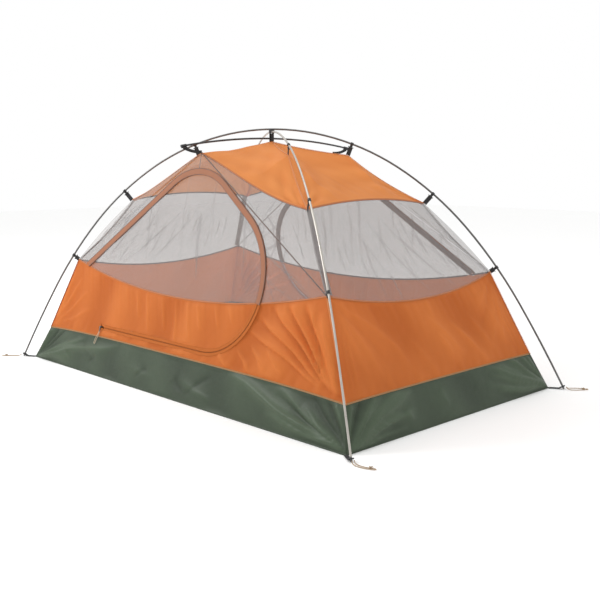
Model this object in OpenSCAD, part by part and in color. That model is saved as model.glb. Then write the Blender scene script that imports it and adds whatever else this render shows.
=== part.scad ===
// Inner tent on two crossed bow poles and a short ridge pole.
// The tent stands at rest with both doors zipped shut. X runs along the tent,
// the near door faces -Y, and the groundsheet lies on Z = 0. Millimetres.

/* [Tent] */
// Length of the groundsheet
floor_l = 2210; // [1800:10:2600]
// Width of the groundsheet
floor_w = 1336; // [1000:2:1600]
// Height of the top pole's axis where the poles cross
apex_h = 1154; // [960:2:1400]
// Height of the green side of the groundsheet
tub_h = 158; // [90:1:200]
// How far the green side leans in from the ground to its top edge
tub_in = 63; // [30:1:90]
// How far the top edge of the long lower wall sags between its corners
long_sag = 102; // [40:1:140]
// How far the top edge of the short lower wall sags between its corners
short_sag = 68; // [20:1:100]
// How far the roof's lower edge hangs below a straight line at the doors
roof_dip = 22; // [15:1:45]
// How far the roof's lower edge arches up at the short ends
roof_arch = 28; // [10:1:50]
// Height of the fabric's peak over a door
peak_h = 1043; // [860:1:1250]

/* [Poles] */
// Outside diameter of every pole
pole_d = 8.5; // [7:0.1:11]
// Wall of a pole's tube
pole_wall = 0.75; // [0.5:0.05:1.2]
// Distance from a groundsheet corner out to its pole foot
foot_reach = 64; // [40:1:120]
// Number of sections in a long pole
long_sections = 9; // [7:2:11]
// Length of the ridge pole from end to end, measured flat
ridge_l = 1032; // [900:2:1300]
// Rise of the ridge pole in its middle
ridge_rise = 40; // [10:1:80]
// Drop from the top pole's axis to the ridge pole's axis
ridge_drop = 43; // [34:1:60]
// Length of a ferrule that joins two sections
ferrule_l = 64; // [40:2:90]
// Diameter of the elastic cord inside the poles
shock_cord_d = 2.5; // [2:0.1:3]

/* [Clips and straps] */
// Length of pole from its foot to the lowest clip
first_clip = 618; // [480:1:720]
// Length of pole from one clip to the next
clip_pitch = 436; // [350:1:480]
// Gap between pole axis and fabric at the lowest clips
low_drop = 34; // [30:1:60]
// Gap between pole axis and fabric at the middle clips
mid_drop = 58; // [24:1:70]
// Gap between pole axis and fabric at the upper clips
top_drop = 54; // [40:1:80]
// Gap between the top pole's axis and the roof's apex
hub_drop = 57; // [54:1:80]
// Width of the webbing straps
strap_w = 20; // [12:1:25]
// Thickness of the webbing
strap_t = 1.6; // [1:0.1:2.5]
// Thickness of the cord in the peg loops
peg_cord_d = 3; // [2:0.1:5]

/* [Doors] */
// Radius of the two round corners of a door
door_r = 315; // [250:1:330]
// Height of a door's lower edge above the groundsheet's underside
door_foot = 217; // [200:1:240]
// Distance along the slope from door foot to door top
door_h = 763; // [680:1:790]
// Where the lower round corner has its centre, from the tent's middle
door_low_x = 203; // [150:1:240]
// Where the upper round corner has its centre, from the tent's middle
door_high_x = 11; // [-30:1:60]
// Where the fabric hinge starts at the bottom, from the tent's middle
hinge_x = -560; // [-600:1:-450]
// Slope of the door's upper left edge, in degrees
door_slant = 34.7; // [32:0.1:37]
// Slope of the fabric hinge, in degrees
hinge_slope = 52; // [46:1:60]
// Half of the gap between door fabric and wall fabric
zip_gap = 5.5; // [5:0.1:8]
// Width of one zip tape with its row of teeth
zip_tape_w = 14; // [11:0.5:18]
// Width of one row of teeth
teeth_w = 2.4; // [2:0.1:3]
// Half of the free slot between the two rows
teeth_gap = 1.1; // [0.9:0.1:2]
// Width of the cover band over the zip
band_w = 28; // [20:1:50]
// Length of the zip slider
slider_l = 14; // [10:0.5:18]
// Length of the pull tab
tab_l = 24; // [16:1:32]

/* [Hidden] */

// Clearances and small fixed sizes
slip = 0.1;
hair = 0.3;
through = 60;
far_out = 4000;
arc_fn = 360;
sweep_fn = 720;

// Cloth is a thin skin between the tent's outline and the same outline
// drawn a little smaller about the tent's heart, so all panels mitre cleanly
heart = [0, 0, 450];
cloth = 0.005;
function toward_heart(p, share) = heart + (1 - share) * (p - heart);

// ---- The bow of a long pole -------------------------------------------
// A straight elastic rod pressed into a bow with free-turning ends. Its
// shape follows from its half span and its rise through elliptic integrals.
slices = 40;
function total(list) = list * [for (x = list) 1];
function first_kind(phi, k) =
    total([for (i = [0.5:slices]) 1 / sqrt(1 - pow(k * sin(phi * i / slices), 2))])
    * phi * PI / 180 / slices;
function second_kind(phi, k) =
    total([for (i = [0.5:slices]) sqrt(1 - pow(k * sin(phi * i / slices), 2))])
    * phi * PI / 180 / slices;
function bow_ratio(k) = 2 * k / (2 * second_kind(90, k) - first_kind(90, k));
function bow_bend(ratio, lo = 0.05, hi = 0.85, n = 26) =
    n == 0 ? (lo + hi) / 2
    : bow_ratio((lo + hi) / 2) > ratio ? bow_bend(ratio, lo, (lo + hi) / 2, n - 1)
    : bow_bend(ratio, (lo + hi) / 2, hi, n - 1);
function bow_phi(share, k, full, lo = 0, hi = 90, n = 26) =
    n == 0 ? (lo + hi) / 2
    : first_kind((lo + hi) / 2, k) > share * full
        ? bow_phi(share, k, full, lo, (lo + hi) / 2, n - 1)
        : bow_phi(share, k, full, (lo + hi) / 2, hi, n - 1);

tip_ball_d = 9;
foot_z = tip_ball_d / 2;
corner_r = norm([floor_l, floor_w]) / 2;
diagonal = atan2(floor_w, floor_l);
span = corner_r + foot_reach;
cross_gap = pole_d + 3.5;
// One bow is [rise, bend, first integral, half length]
function bow(rise) =
    let (k = bow_bend(rise / span), full = first_kind(90, k))
    [rise, k, full, rise * full / (2 * k)];
upper_bow = bow(apex_h - foot_z);
lower_bow = bow(apex_h - cross_gap - foot_z);
// A place on a bow, from -1 at one foot through 0 at the top to 1: [r, z]
function bow_point(b, share) =
    let (phi = bow_phi(abs(share), b[1], b[2]),
         r = b[3] / b[2] * (2 * second_kind(phi, b[1]) - first_kind(phi, b[1])))
    [sign(share) * r, foot_z + b[0] * cos(phi)];
// How steeply the bow falls there, in degrees
function bow_fall(b, share) =
    2 * asin(b[1] * sin(bow_phi(abs(share), b[1], b[2])));

// Places of the clips on a bow, and of the fabric below them
clip_drops = [low_drop, mid_drop, top_drop];
function clip_share(b, i) = 1 - (first_clip + i * clip_pitch) / b[3];
function under_clip(b, i) =
    let (fall = bow_fall(b, clip_share(b, i)))
    bow_point(b, clip_share(b, i)) - clip_drops[i] * [sin(fall), cos(fall)];
function on_diagonal(rz) = [rz[0] * cos(diagonal), rz[0] * sin(diagonal), rz[1]];

// ---- Corners of the fabric, in the far right quarter --------------------
ground_corner = [floor_l / 2, floor_w / 2, 0];
wall_peak = on_diagonal(under_clip(upper_bow, 0));
roof_tip = on_diagonal(under_clip(upper_bow, 1));
roof_shoulder = on_diagonal(under_clip(upper_bow, 2));
roof_apex = [0, 0, apex_h - hub_drop];
tub_corner = [floor_l / 2 - tub_in, floor_w / 2 - tub_in, tub_h];
long_run = (tub_corner.y - wall_peak.y) / (wall_peak.z - tub_h);
short_run = (tub_corner.x - wall_peak.x) / (wall_peak.z - tub_h);
long_reach = tub_corner.y + long_run * tub_h;
short_reach = tub_corner.x + short_run * tub_h;
door_peak = [0, long_reach - long_run * peak_h, peak_h];
long_lean = atan(long_run);
short_lean = atan(short_run);
function up_long(z) = z / cos(long_lean);
function up_short(z) = z / cos(short_lean);
function near(p) = [p.x, -p.y, p.z];
function left(p) = [-p.x, p.y, p.z];

// ---- Door outline, in the plane of the long side ------------------------
door_t = up_long(door_foot);
low_c = [door_low_x, door_t + door_r];
high_c = [door_high_x, door_t + door_h - door_r];
hinge_foot = [hinge_x, door_t];
hinge_way = [-cos(hinge_slope), sin(hinge_slope)];
slant_way = [cos(door_slant), sin(door_slant)];
slant_out = [-sin(door_slant), cos(door_slant)];
side_turn = atan2(high_c.x - low_c.x, high_c.y - low_c.y);
function round_to(c, r, a0, a1, n) =
    [for (i = [0:n]) c + r * [cos(a0 + (a1 - a0) * i / n), sin(a0 + (a1 - a0) * i / n)]];
function crossing(p, u, q, v) =
    p + u * ((q.x - p.x) * v.y - (q.y - p.y) * v.x) / (u.x * v.y - u.y * v.x);
// The outline grown outward everywhere but at the hinge, which moves by shift
function door_outline(grow, shift = 0) =
    let (hinge_p = hinge_foot + shift * [sin(hinge_slope), cos(hinge_slope)],
         low_end = crossing(hinge_p, hinge_way, hinge_foot - [0, grow], [1, 0]),
         high_p = high_c + (door_r + grow) * slant_out,
         high_end = crossing(hinge_p, hinge_way, high_p, slant_way))
    concat([low_end],
           round_to(low_c, door_r + grow, -90, -side_turn, 14),
           round_to(high_c, door_r + grow, -side_turn, 90 + door_slant, 18),
           [high_end]);

// ---- Placing ------------------------------------------------------------
// The outer face of the near long side becomes the XY plane, Z outward
module on_near_side() {
    translate([0, -long_reach, 0]) rotate([90 - long_lean, 0, 0]) children();
}
// The outer face of the right short side becomes the XY plane, Z outward
module on_right_side() {
    rotate([0, 0, 90]) translate([0, -short_reach, 0])
        rotate([90 - short_lean, 0, 0]) children();
}
module turned() {
    rotate([0, 0, 180]) children();
}
// Four copies, one over each corner of the tent
module each_corner() {
    for (a = [0, 180]) {
        rotate([0, 0, a]) children();
        rotate([0, 0, a]) mirror([1, 0, 0]) children();
    }
}

// ---- Building blocks ----------------------------------------------------
// A flat patch of cloth between two depths of the skin. The corners run
// counterclockwise seen from outside.
module patch(corners, outer = 0, inner = cloth) {
    n = len(corners);
    points = concat([for (p = corners) toward_heart(p, outer)],
                    [for (p = corners) toward_heart(p, inner)]);
    sides = [for (i = [0:n - 1]) [i, (i + 1) % n, n + (i + 1) % n, n + i]];
    polyhedron(points, concat([[for (i = [n - 1:-1:0]) i], [for (i = [0:n - 1]) n + i]], sides));
}
// One piece of cloth that bends along straight folds: flat facets over shared
// corners, closed with side walls along every edge that only one facet has.
module quilt(corners, facets) {
    n = len(corners);
    points = concat([for (p = corners) p], [for (p = corners) toward_heart(p, cloth)]);
    edges = [for (f = facets, i = [0:len(f) - 1]) [f[i], f[(i + 1) % len(f)]]];
    rim = [for (e = edges) if (len([for (o = edges) if (o[0] == e[1] && o[1] == e[0]) 1]) == 0) e];
    outer = [for (f = facets) [for (i = [len(f) - 1:-1:0]) f[i]]];
    inner = [for (f = facets) [for (i = f) n + i]];
    polyhedron(points, concat(outer, inner, [for (e = rim) [e[0], e[1], n + e[1], n + e[0]]]));
}
module long_side_skin() {
    patch([near(left(tub_corner)), near(tub_corner), near(wall_peak),
           near(door_peak), near(left(wall_peak))]);
}
module short_side_skin() {
    patch([near(tub_corner), tub_corner, wall_peak, near(wall_peak)]);
}
// The half plane below a height in a side's own plane, as a thick block
module below(t) {
    translate([-far_out / 2, t - far_out, -through / 2]) cube([far_out, far_out, through]);
}
// How far the sagging edges and the arch pass from the corners they lead to
corner_step = 2;
// Everything above a sagging edge: the sag is an arc of a large circle
module above_sag(half, t_ends, sag) {
    r = (half * half + sag * sag) / (2 * sag);
    translate([0, t_ends - corner_step - sag + r, -through / 2])
        cylinder(h = through, r = r, $fn = arc_fn);
}
module above_long_sag() {
    on_near_side() above_sag(wall_peak.x, up_long(wall_peak.z), long_sag);
}
module above_short_sag() {
    on_right_side() above_sag(wall_peak.y, up_short(wall_peak.z), short_sag);
}
module door_block(grow, shift = 0, z0 = -through / 2, z1 = through / 2) {
    translate([0, 0, z0]) linear_extrude(height = z1 - z0) polygon(door_outline(grow, shift));
}

// ---- Groundsheet --------------------------------------------------------
module groundsheet_floor() {
    color("darkslategray")
        patch([near(left(ground_corner)), left(ground_corner), ground_corner, near(ground_corner)]);
}
module long_tub_side() {
    patch([near(left(ground_corner)), near(ground_corner), near(tub_corner), near(left(tub_corner))]);
}
module short_tub_side() {
    patch([near(ground_corner), ground_corner, tub_corner, near(tub_corner)]);
}
module groundsheet_near_side() {
    color("darkolivegreen") long_tub_side();
}
module groundsheet_far_side() {
    color("darkolivegreen") turned() long_tub_side();
}
module groundsheet_left_side() {
    color("darkolivegreen") turned() short_tub_side();
}
module groundsheet_right_side() {
    color("darkolivegreen") short_tub_side();
}

// ---- Lower walls --------------------------------------------------------
slider_home = hinge_foot - [slider_l / 2 + 12, 0];
garage_l = slider_l + 24;
// The slot beside the hinge in which the slider is parked
module garage_block() {
    translate([hinge_x - garage_l, door_t - zip_gap, -through / 2])
        cube([garage_l, 2 * zip_gap, through]);
}
module long_wall() {
    difference() {
        long_side_skin();
        above_long_sag();
        on_near_side() door_block(zip_gap, -hair);
        on_near_side() garage_block();
    }
}
module short_wall() {
    difference() {
        short_side_skin();
        above_short_sag();
    }
}
module near_lower_wall() {
    color("chocolate") long_wall();
}
module far_lower_wall() {
    color("chocolate") turned() long_wall();
}
module left_lower_wall() {
    color("chocolate") turned() short_wall();
}
module right_lower_wall() {
    color("chocolate") short_wall();
}

// ---- Mesh panels --------------------------------------------------------
// Everything below the arch of the roof's edge at a short end
module under_short_arch() {
    r = (roof_tip.y * roof_tip.y + roof_arch * roof_arch) / (2 * roof_arch);
    translate([0, 0, roof_tip.z + corner_step + roof_arch - r]) rotate([0, 90, 0])
        cylinder(h = far_out, r = r, $fn = arc_fn);
}
// The roof's lower edge beside a door, from its tip to the door peak. It hangs
// below the straight line between them, in the plane of the gusset, and hangs
// lowest a third of the way up.
dip_steps = 8;
dip_chord = near(door_peak) - near(roof_tip);
gusset_square = cross(dip_chord, near(wall_peak) - near(roof_tip));
dip_way = cross(gusset_square, dip_chord) / norm(gusset_square) / norm(dip_chord);
dip_edge = [for (i = [1:dip_steps - 1]) let (t = i / dip_steps)
    near(roof_tip) + t * dip_chord + roof_dip * t * pow(1 - t, 2) * 27 / 4 * dip_way];
module long_mesh() {
    difference() {
        intersection() {
            long_side_skin();
            above_long_sag();
        }
        on_near_side() door_block(zip_gap, -hair);
    }
}
module short_mesh() {
    union() {
        intersection() {
            short_side_skin();
            above_short_sag();
        }
        patch([near(wall_peak), wall_peak, roof_tip, near(roof_tip)]);
        intersection() {
            patch([near(roof_tip), roof_tip, roof_shoulder, near(roof_shoulder)]);
            under_short_arch();
        }
    }
}
module mesh_gusset() {
    back_edge = [for (i = [dip_steps - 2:-1:0]) dip_edge[i]];
    corners = concat([near(wall_peak), near(door_peak)], back_edge, [near(roof_tip)]);
    quilt(corners, [for (i = [1:len(corners) - 2]) [0, i, i + 1]]);
}
module near_mesh_panel() {
    color("lightgray", 0.5) long_mesh();
}
module far_mesh_panel() {
    color("lightgray", 0.5) turned() long_mesh();
}
module left_mesh_panel() {
    color("lightgray", 0.5) turned() short_mesh();
}
module right_mesh_panel() {
    color("lightgray", 0.5) short_mesh();
}
module near_left_mesh_gusset() {
    color("lightgray", 0.5) mirror([1, 0, 0]) mesh_gusset();
}
module near_right_mesh_gusset() {
    color("lightgray", 0.5) mesh_gusset();
}
module far_left_mesh_gusset() {
    color("lightgray", 0.5) turned() mesh_gusset();
}
module far_right_mesh_gusset() {
    color("lightgray", 0.5) mirror([0, 1, 0]) mesh_gusset();
}

// ---- Roof ---------------------------------------------------------------
module long_roof() {
    right_edge = concat([near(roof_tip)], dip_edge, [near(door_peak)]);
    left_edge = [for (i = [dip_steps - 1:-1:0]) left(right_edge[i])];
    rim = concat(right_edge, left_edge);
    peak = dip_steps;
    shoulder = len(rim);
    quilt(concat(rim, [near(roof_shoulder), near(left(roof_shoulder)), roof_apex]), concat(
        [for (i = [1:peak - 1]) [i + 1, i, 0]],
        [for (i = [peak:2 * dip_steps - 2]) [2 * dip_steps, i + 1, i]],
        [
            [0, shoulder, peak],
            [shoulder, shoulder + 2, peak],
            [shoulder + 2, shoulder + 1, peak],
            [shoulder + 1, 2 * dip_steps, peak]
        ]));
}
module short_roof() {
    union() {
        difference() {
            patch([near(roof_tip), roof_tip, roof_shoulder, near(roof_shoulder)]);
            under_short_arch();
        }
        patch([near(roof_shoulder), roof_shoulder, roof_apex]);
    }
}
module near_roof_panel() {
    color("sandybrown") long_roof();
}
module far_roof_panel() {
    color("sandybrown") turned() long_roof();
}
module left_roof_panel() {
    color("sandybrown") turned() short_roof();
}
module right_roof_panel() {
    color("sandybrown") short_roof();
}

// Doubled grey band sewn down each corner from roof tip to lower wall
seam_band_w = 26;
seam_band_t = 0.002;
module corner_seam_bands() {
    step_in = [0, seam_band_w, 0];
    color("gray") each_corner()
        patch([near(wall_peak), near(wall_peak) + step_in, near(roof_tip) + step_in, near(roof_tip)],
              -seam_band_t, 0);
}

// ---- Doors --------------------------------------------------------------
module door_skin() {
    intersection() {
        long_side_skin();
        on_near_side() door_block(-zip_gap, hair);
    }
}
module door_lower_panel() {
    difference() {
        door_skin();
        above_long_sag();
    }
}
module door_mesh() {
    intersection() {
        door_skin();
        above_long_sag();
    }
}
tape_t = 1;
teeth_deep = 1.4;
// A strip that follows the zip between two distances from the door outline,
// and starts a little way from the hinge
module zip_strip(g0, g1, z0, z1, start) {
    difference() {
        door_block(g1, start, z0, z1);
        door_block(g0, start - 1, z0 - 1, z1 + 1);
    }
}
module door_zip_half() {
    zip_strip(-teeth_gap - teeth_w, -teeth_gap, -teeth_deep, tape_t, 9);
    zip_strip(-teeth_gap - zip_tape_w, -teeth_gap - teeth_w + slip, 0, tape_t, 8);
}
module wall_zip_half() {
    zip_strip(teeth_gap, teeth_gap + teeth_w, -teeth_deep, tape_t, 3);
    zip_strip(teeth_gap + teeth_w - slip, teeth_gap + zip_tape_w, 0, tape_t, 2);
    translate([hinge_x - garage_l - 4, door_t - teeth_gap - zip_tape_w, 0])
        cube([garage_l + 30, zip_tape_w, tape_t]);
    translate([hinge_x - garage_l + hair, door_t - teeth_gap - teeth_w, -teeth_deep])
        cube([garage_l + 12, teeth_w, teeth_deep + tape_t / 2]);
}
module zip_garage_row() {
    translate([hinge_x - garage_l - 4, door_t + teeth_gap, 0])
        cube([garage_l - 14, zip_tape_w, tape_t]);
    translate([hinge_x - garage_l + hair, door_t + teeth_gap, -teeth_deep])
        cube([garage_l - 20, teeth_w, teeth_deep + tape_t / 2]);
}
// Band of cloth over the zip, sewn to the door, open toward the wall
cover_z = 4;
module zip_cover() {
    difference() {
        union() {
            zip_strip(-band_w / 2, band_w / 2, cover_z, cover_z + tape_t, 16);
            zip_strip(-band_w / 2, -band_w / 2 + 2, tape_t, cover_z + slip, 16);
        }
        below(up_long(wall_peak.z) - long_sag);
    }
}
module near_door_lower_panel() {
    color("chocolate") door_lower_panel();
}
module near_door_mesh_panel() {
    color("lightgray", 0.5) door_mesh();
}
module near_door_zip_half() {
    color("saddlebrown") on_near_side() door_zip_half();
}
module near_door_zip_cover() {
    color("peru") on_near_side() zip_cover();
}
module near_wall_zip_half() {
    color("saddlebrown") on_near_side() {
        wall_zip_half();
        zip_garage_row();
    }
}
module far_door_lower_panel() {
    color("chocolate") turned() door_lower_panel();
}
module far_door_mesh_panel() {
    color("lightgray", 0.5) turned() door_mesh();
}
module far_door_zip_half() {
    color("saddlebrown") turned() on_near_side() door_zip_half();
}
module far_door_zip_cover() {
    color("peru") turned() on_near_side() zip_cover();
}
module far_wall_zip_half() {
    color("saddlebrown") turned() on_near_side() {
        wall_zip_half();
        zip_garage_row();
    }
}

// ---- Zip slider and its pull --------------------------------------------
slider_w = 9;
plate_t = 1.2;
plate_gap = 0.6;
post_t = 1.5;
top_z = tape_t + plate_gap;
bottom_z = -teeth_deep - plate_gap;
pin_d = 1.6;
pin_z = top_z + plate_t + 1.6;
ear_t = 1.2;
module slider() {
    translate([slider_home.x - slider_l / 2, slider_home.y - slider_w / 2, 0]) {
        translate([0, 0, top_z]) cube([slider_l, slider_w, plate_t]);
        translate([0, 0, bottom_z - plate_t]) cube([slider_l, slider_w, plate_t]);
        translate([slider_l - 4, slider_w / 2 - post_t / 2, bottom_z - slip])
            cube([4, post_t, top_z - bottom_z + 2 * slip]);
    }
    for (side = [-1, 1])
        translate([slider_home.x + side * 4 - ear_t / 2, slider_home.y - 1.6, top_z + plate_t - slip])
            cube([ear_t, 3.2, pin_z - top_z - plate_t + 1.4]);
    translate([slider_home.x - 4, slider_home.y, pin_z])
        rotate([0, 90, 0]) cylinder(h = 8, d = pin_d, $fn = 32);
}
tab_w = 6;
tab_t = 1.5;
module pull_tab() {
    translate([slider_home.x, slider_home.y, pin_z]) difference() {
        union() {
            translate([-tab_w / 2, -tab_l, -tab_t / 2]) cube([tab_w, tab_l, tab_t]);
            translate([-tab_w / 2, 0, 0]) rotate([0, 90, 0])
                cylinder(h = tab_w, d = pin_d + 1.6, $fn = 40);
        }
        translate([-tab_w, 0, 0]) rotate([0, 90, 0])
            cylinder(h = 2 * tab_w, d = pin_d + 2 * 0.08, $fn = 40);
        translate([0, 4 - tab_l, -5]) cylinder(h = 10, d = 3.2, $fn = 32);
    }
}
module near_zip_slider() {
    color("dimgray") on_near_side() slider();
}
module near_pull_tab() {
    color("dimgray") on_near_side() pull_tab();
}
module far_zip_slider() {
    color("dimgray") turned() on_near_side() slider();
}
module far_pull_tab() {
    color("dimgray") turned() on_near_side() pull_tab();
}

// ---- Cords --------------------------------------------------------------
// A round cord swept along a hand-laid route, eight sides round. Each ring
// stands square to the way the cord runs there.
cord_sides = 8;
function unit(v) = v / norm(v);
function way(route, i) =
    unit(route[min(i + 1, len(route) - 1)] - route[max(i - 1, 0)]);
function cord_ring(p, w, d) =
    let (side = unit(cross(w, abs(w.z) > 0.9 ? [1, 0, 0] : [0, 0, 1])), rise = cross(side, w))
    [for (a = [0:360 / cord_sides:359]) p + d / 2 * (side * cos(a) + rise * sin(a))];
module cord(route, d) {
    n = len(route);
    points = [for (i = [0:n - 1]) each cord_ring(route[i], way(route, i), d)];
    walls = [for (i = [0:n - 2], j = [0:cord_sides - 1])
             each let (a = i * cord_sides + j, b = i * cord_sides + (j + 1) % cord_sides)
             [[a, b, b + cord_sides], [a, b + cord_sides, a + cord_sides]]];
    start = [for (j = [cord_sides - 1:-1:0]) j];
    end = [for (j = [0:cord_sides - 1]) (n - 1) * cord_sides + j];
    polyhedron(points, concat([start, end], walls));
}

// Pull cord: tied through the tab, two strands hanging down the wall.
// Measured from the tab's hole: across, down the slope, out from the wall.
pull_cord_d = 2.4;
pull_route = [
    [0, 1, 3], [-3, -4, 3], [-7, -12, 2.6], [-11, -20, 3.6], [-15, -28, 4.8],
    [-18, -36, 6.2], [-20, -44, 7.6], [-21, -52, 9], [-20, -59, 10.2], [-16, -63, 11],
    [-12, -62, 10.8], [-10, -56, 9.8], [-9, -48, 8.4], [-7, -40, 7], [-5, -32, 5.6],
    [-3, -24, 4.4], [-1, -16, 3.4], [1, -9, 3], [2, -3, 3]
];
module pull_cord() {
    translate([slider_home.x, slider_home.y - tab_l + 4, pin_z - 2.2])
        cord(pull_route, pull_cord_d);
}
module near_pull_cord() {
    color("wheat") on_near_side() pull_cord();
}
module far_pull_cord() {
    color("wheat") turned() on_near_side() pull_cord();
}

// ---- Long poles ---------------------------------------------------------
// The arc through three places in a bow's plane: [centre, radius, from, to]
function arc_through(p, m, q) =
    let (a = (p + m) / 2, u = [p.y - m.y, m.x - p.x],
         b = (m + q) / 2, v = [m.y - q.y, q.x - m.x],
         c = crossing(a, u, b, v))
    [c, norm(p - c), atan2(q.y - c.y, q.x - c.x), atan2(p.y - c.y, p.x - c.x)];
// A bent round bar or tube along such an arc, from share s0 to share s1 of it
module bent_bar(arc, d, bore = 0, s0 = 0, s1 = 1) {
    sweep = arc[3] - arc[2];
    translate([arc[0].x, 0, arc[0].y]) rotate([90, 0, 0])
        rotate([0, 0, arc[2] + s0 * sweep])
            rotate_extrude(angle = (s1 - s0) * sweep, $fn = sweep_fn)
                translate([arc[1], 0]) difference() {
                    circle(d = d, $fn = 32);
                    if (bore > 0) circle(d = bore, $fn = 32);
                }
}
tip_l = 14;
joint_gap = 0.4;
// Shares of a bow at which its sections end; the last one stops at the tip
function section_end(b, i, n) = (2 * i / n - 1) * (1 - tip_l / b[3]);
function section_arc(b, i, n) =
    let (s0 = section_end(b, i, n), s1 = section_end(b, i + 1, n))
    arc_through(bow_point(b, s0), bow_point(b, (s0 + s1) / 2), bow_point(b, s1));
upper_arcs = [for (i = [0:long_sections - 1]) section_arc(upper_bow, i, long_sections)];
lower_arcs = [for (i = [0:long_sections - 1]) section_arc(lower_bow, i, long_sections)];
// The ridge pole is one flat arc in three sections
ridge_sections = 3;
ridge_z = apex_h - ridge_drop;
ridge_ends = [[-ridge_l / 2, ridge_z - ridge_rise], [ridge_l / 2, ridge_z - ridge_rise]];
ridge_whole = arc_through(ridge_ends[0], [0, ridge_z], ridge_ends[1]);
ridge_arcs = [for (i = [0:ridge_sections - 1])
    let (step = (ridge_whole[3] - ridge_whole[2]) / ridge_sections,
         high = ridge_whole[3] - i * step)
    [ridge_whole[0], ridge_whole[1], high - step, high]];
function arc_len(arc) = (arc[3] - arc[2]) * PI / 180 * arc[1];

module tube_sections(arcs) {
    for (arc = arcs) {
        trim = joint_gap / 2 / arc_len(arc);
        bent_bar(arc, pole_d, pole_d - 2 * pole_wall, trim, 1 - trim);
    }
}
ferrule_d = pole_d - 2 * pole_wall - 2 * slip;
ferrule_bore = shock_cord_d + 1.5;
// A ferrule reaches half its length into each of the two sections it joins
module ferrules(b) {
    reach = ferrule_l / 2 / b[3];
    for (i = [1:long_sections - 1]) {
        s = section_end(b, i, long_sections);
        arc = arc_through(bow_point(b, s - reach), bow_point(b, s), bow_point(b, s + reach));
        bent_bar(arc, ferrule_d, ferrule_bore);
    }
}
module ridge_ferrules() {
    turn = ferrule_l / 2 / ridge_whole[1] * 180 / PI;
    for (i = [0:ridge_sections - 2]) {
        low = ridge_arcs[i][2];
        bent_bar([ridge_whole[0], ridge_whole[1], low - turn, low + turn], ferrule_d, ferrule_bore);
    }
}
module along_upper() {
    rotate([0, 0, diagonal]) children();
}
module along_lower() {
    rotate([0, 0, -diagonal]) children();
}
module along_ridge() {
    rotate([0, 0, 90]) children();
}
module upper_long_pole() {
    color("silver") along_upper() tube_sections(upper_arcs);
}
module lower_long_pole() {
    color("silver") along_lower() tube_sections(lower_arcs);
}
module ridge_pole() {
    color("dimgray") along_ridge() tube_sections(ridge_arcs);
}
module pole_ferrules() {
    color("gainsboro") {
        along_upper() ferrules(upper_bow);
        along_lower() ferrules(lower_bow);
        along_ridge() ridge_ferrules();
    }
}
// The elastic cord inside a pole, knotted just inside each end
cord_rings = 64;
cord_inset = 40;
function bow_route(b) =
    let (end = 1 - cord_inset / b[3])
    [for (i = [0:cord_rings]) let (p = bow_point(b, end * (2 * i / cord_rings - 1))) [p.x, 0, p.y]];
function ridge_route(n) =
    let (c = ridge_whole[0], r = ridge_whole[1], play = cord_inset / 2 / r * 180 / PI,
         a0 = ridge_whole[2] + play, a1 = ridge_whole[3] - play)
    [for (i = [0:n]) let (a = a1 + (a0 - a1) * i / n) [c.x + r * cos(a), 0, c.y + r * sin(a)]];
module pole_shock_cords() {
    color("orange") {
        along_upper() cord(bow_route(upper_bow), shock_cord_d);
        along_lower() cord(bow_route(lower_bow), shock_cord_d);
        along_ridge() cord(ridge_route(16), shock_cord_d);
    }
}

// ---- Pole feet ----------------------------------------------------------
// Each foot is placed at the pole's end, its axis along the pole
module at_foot(b) {
    translate([span, 0, foot_z]) rotate([0, bow_fall(b, 1), 0]) children();
}
module each_foot() {
    rotate([0, 0, diagonal]) at_foot(upper_bow) children();
    rotate([0, 0, -diagonal]) at_foot(lower_bow) children();
    rotate([0, 0, 180 + diagonal]) at_foot(upper_bow) children();
    rotate([0, 0, 180 - diagonal]) at_foot(lower_bow) children();
}
tip_neck_d = 5.6;
eyelet_t = 3;
eyelet_at = 6;
plug_l = 14;
// Ball, neck, collar and the plug inside the tube; the pole runs toward -X
module pole_tips() {
    color("dimgray") each_foot() union() {
        sphere(d = tip_ball_d, $fn = 48);
        rotate([0, -90, 0]) cylinder(h = tip_l - 1, d = tip_neck_d, $fn = 40);
        translate([-eyelet_at - eyelet_t - hair, 0, 0])
            rotate([0, -90, 0]) cylinder(h = tip_l - eyelet_at - eyelet_t - 2 * hair, d = pole_d, $fn = 40);
        translate([-tip_l + 1, 0, 0]) rotate([0, -90, 0]) cylinder(h = plug_l, d = ferrule_d, $fn = 40);
    }
}
eyelet_d = 22;
lug_l = 17;
// Moulded eyelet round the neck, with a lug for the corner strap inward
module foot_eyelets() {
    color("dimgray") each_foot() translate([-eyelet_at, 0, 0]) difference() {
        union() {
            rotate([0, -90, 0]) cylinder(h = eyelet_t, d = eyelet_d, $fn = 48);
            translate([-eyelet_t, -eyelet_d / 2 + 2, -lug_l]) cube([eyelet_t, eyelet_d - 4, lug_l]);
        }
        translate([1, 0, 0]) rotate([0, -90, 0]) cylinder(h = eyelet_t + 2, d = tip_neck_d + 0.6, $fn = 40);
    }
}
// Flat webbing from the groundsheet's corner out to the eyelet's lug
module corner_straps() {
    lug_in = eyelet_at * cos(bow_fall(upper_bow, 1)) + lug_l * sin(bow_fall(upper_bow, 1));
    color("darkslategray") for (a = [diagonal, -diagonal, 180 + diagonal, 180 - diagonal])
        rotate([0, 0, a]) translate([corner_r - 1, -strap_w / 2 + 2, 2.2])
            cube([foot_reach + 1 - lug_in - 0.6, strap_w - 4, strap_t]);
}

// ---- Clips on the long poles --------------------------------------------
clip_w = 12;
clip_wall = 2.6;
slot_room = 0.4;
clip_neck = 7;
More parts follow.
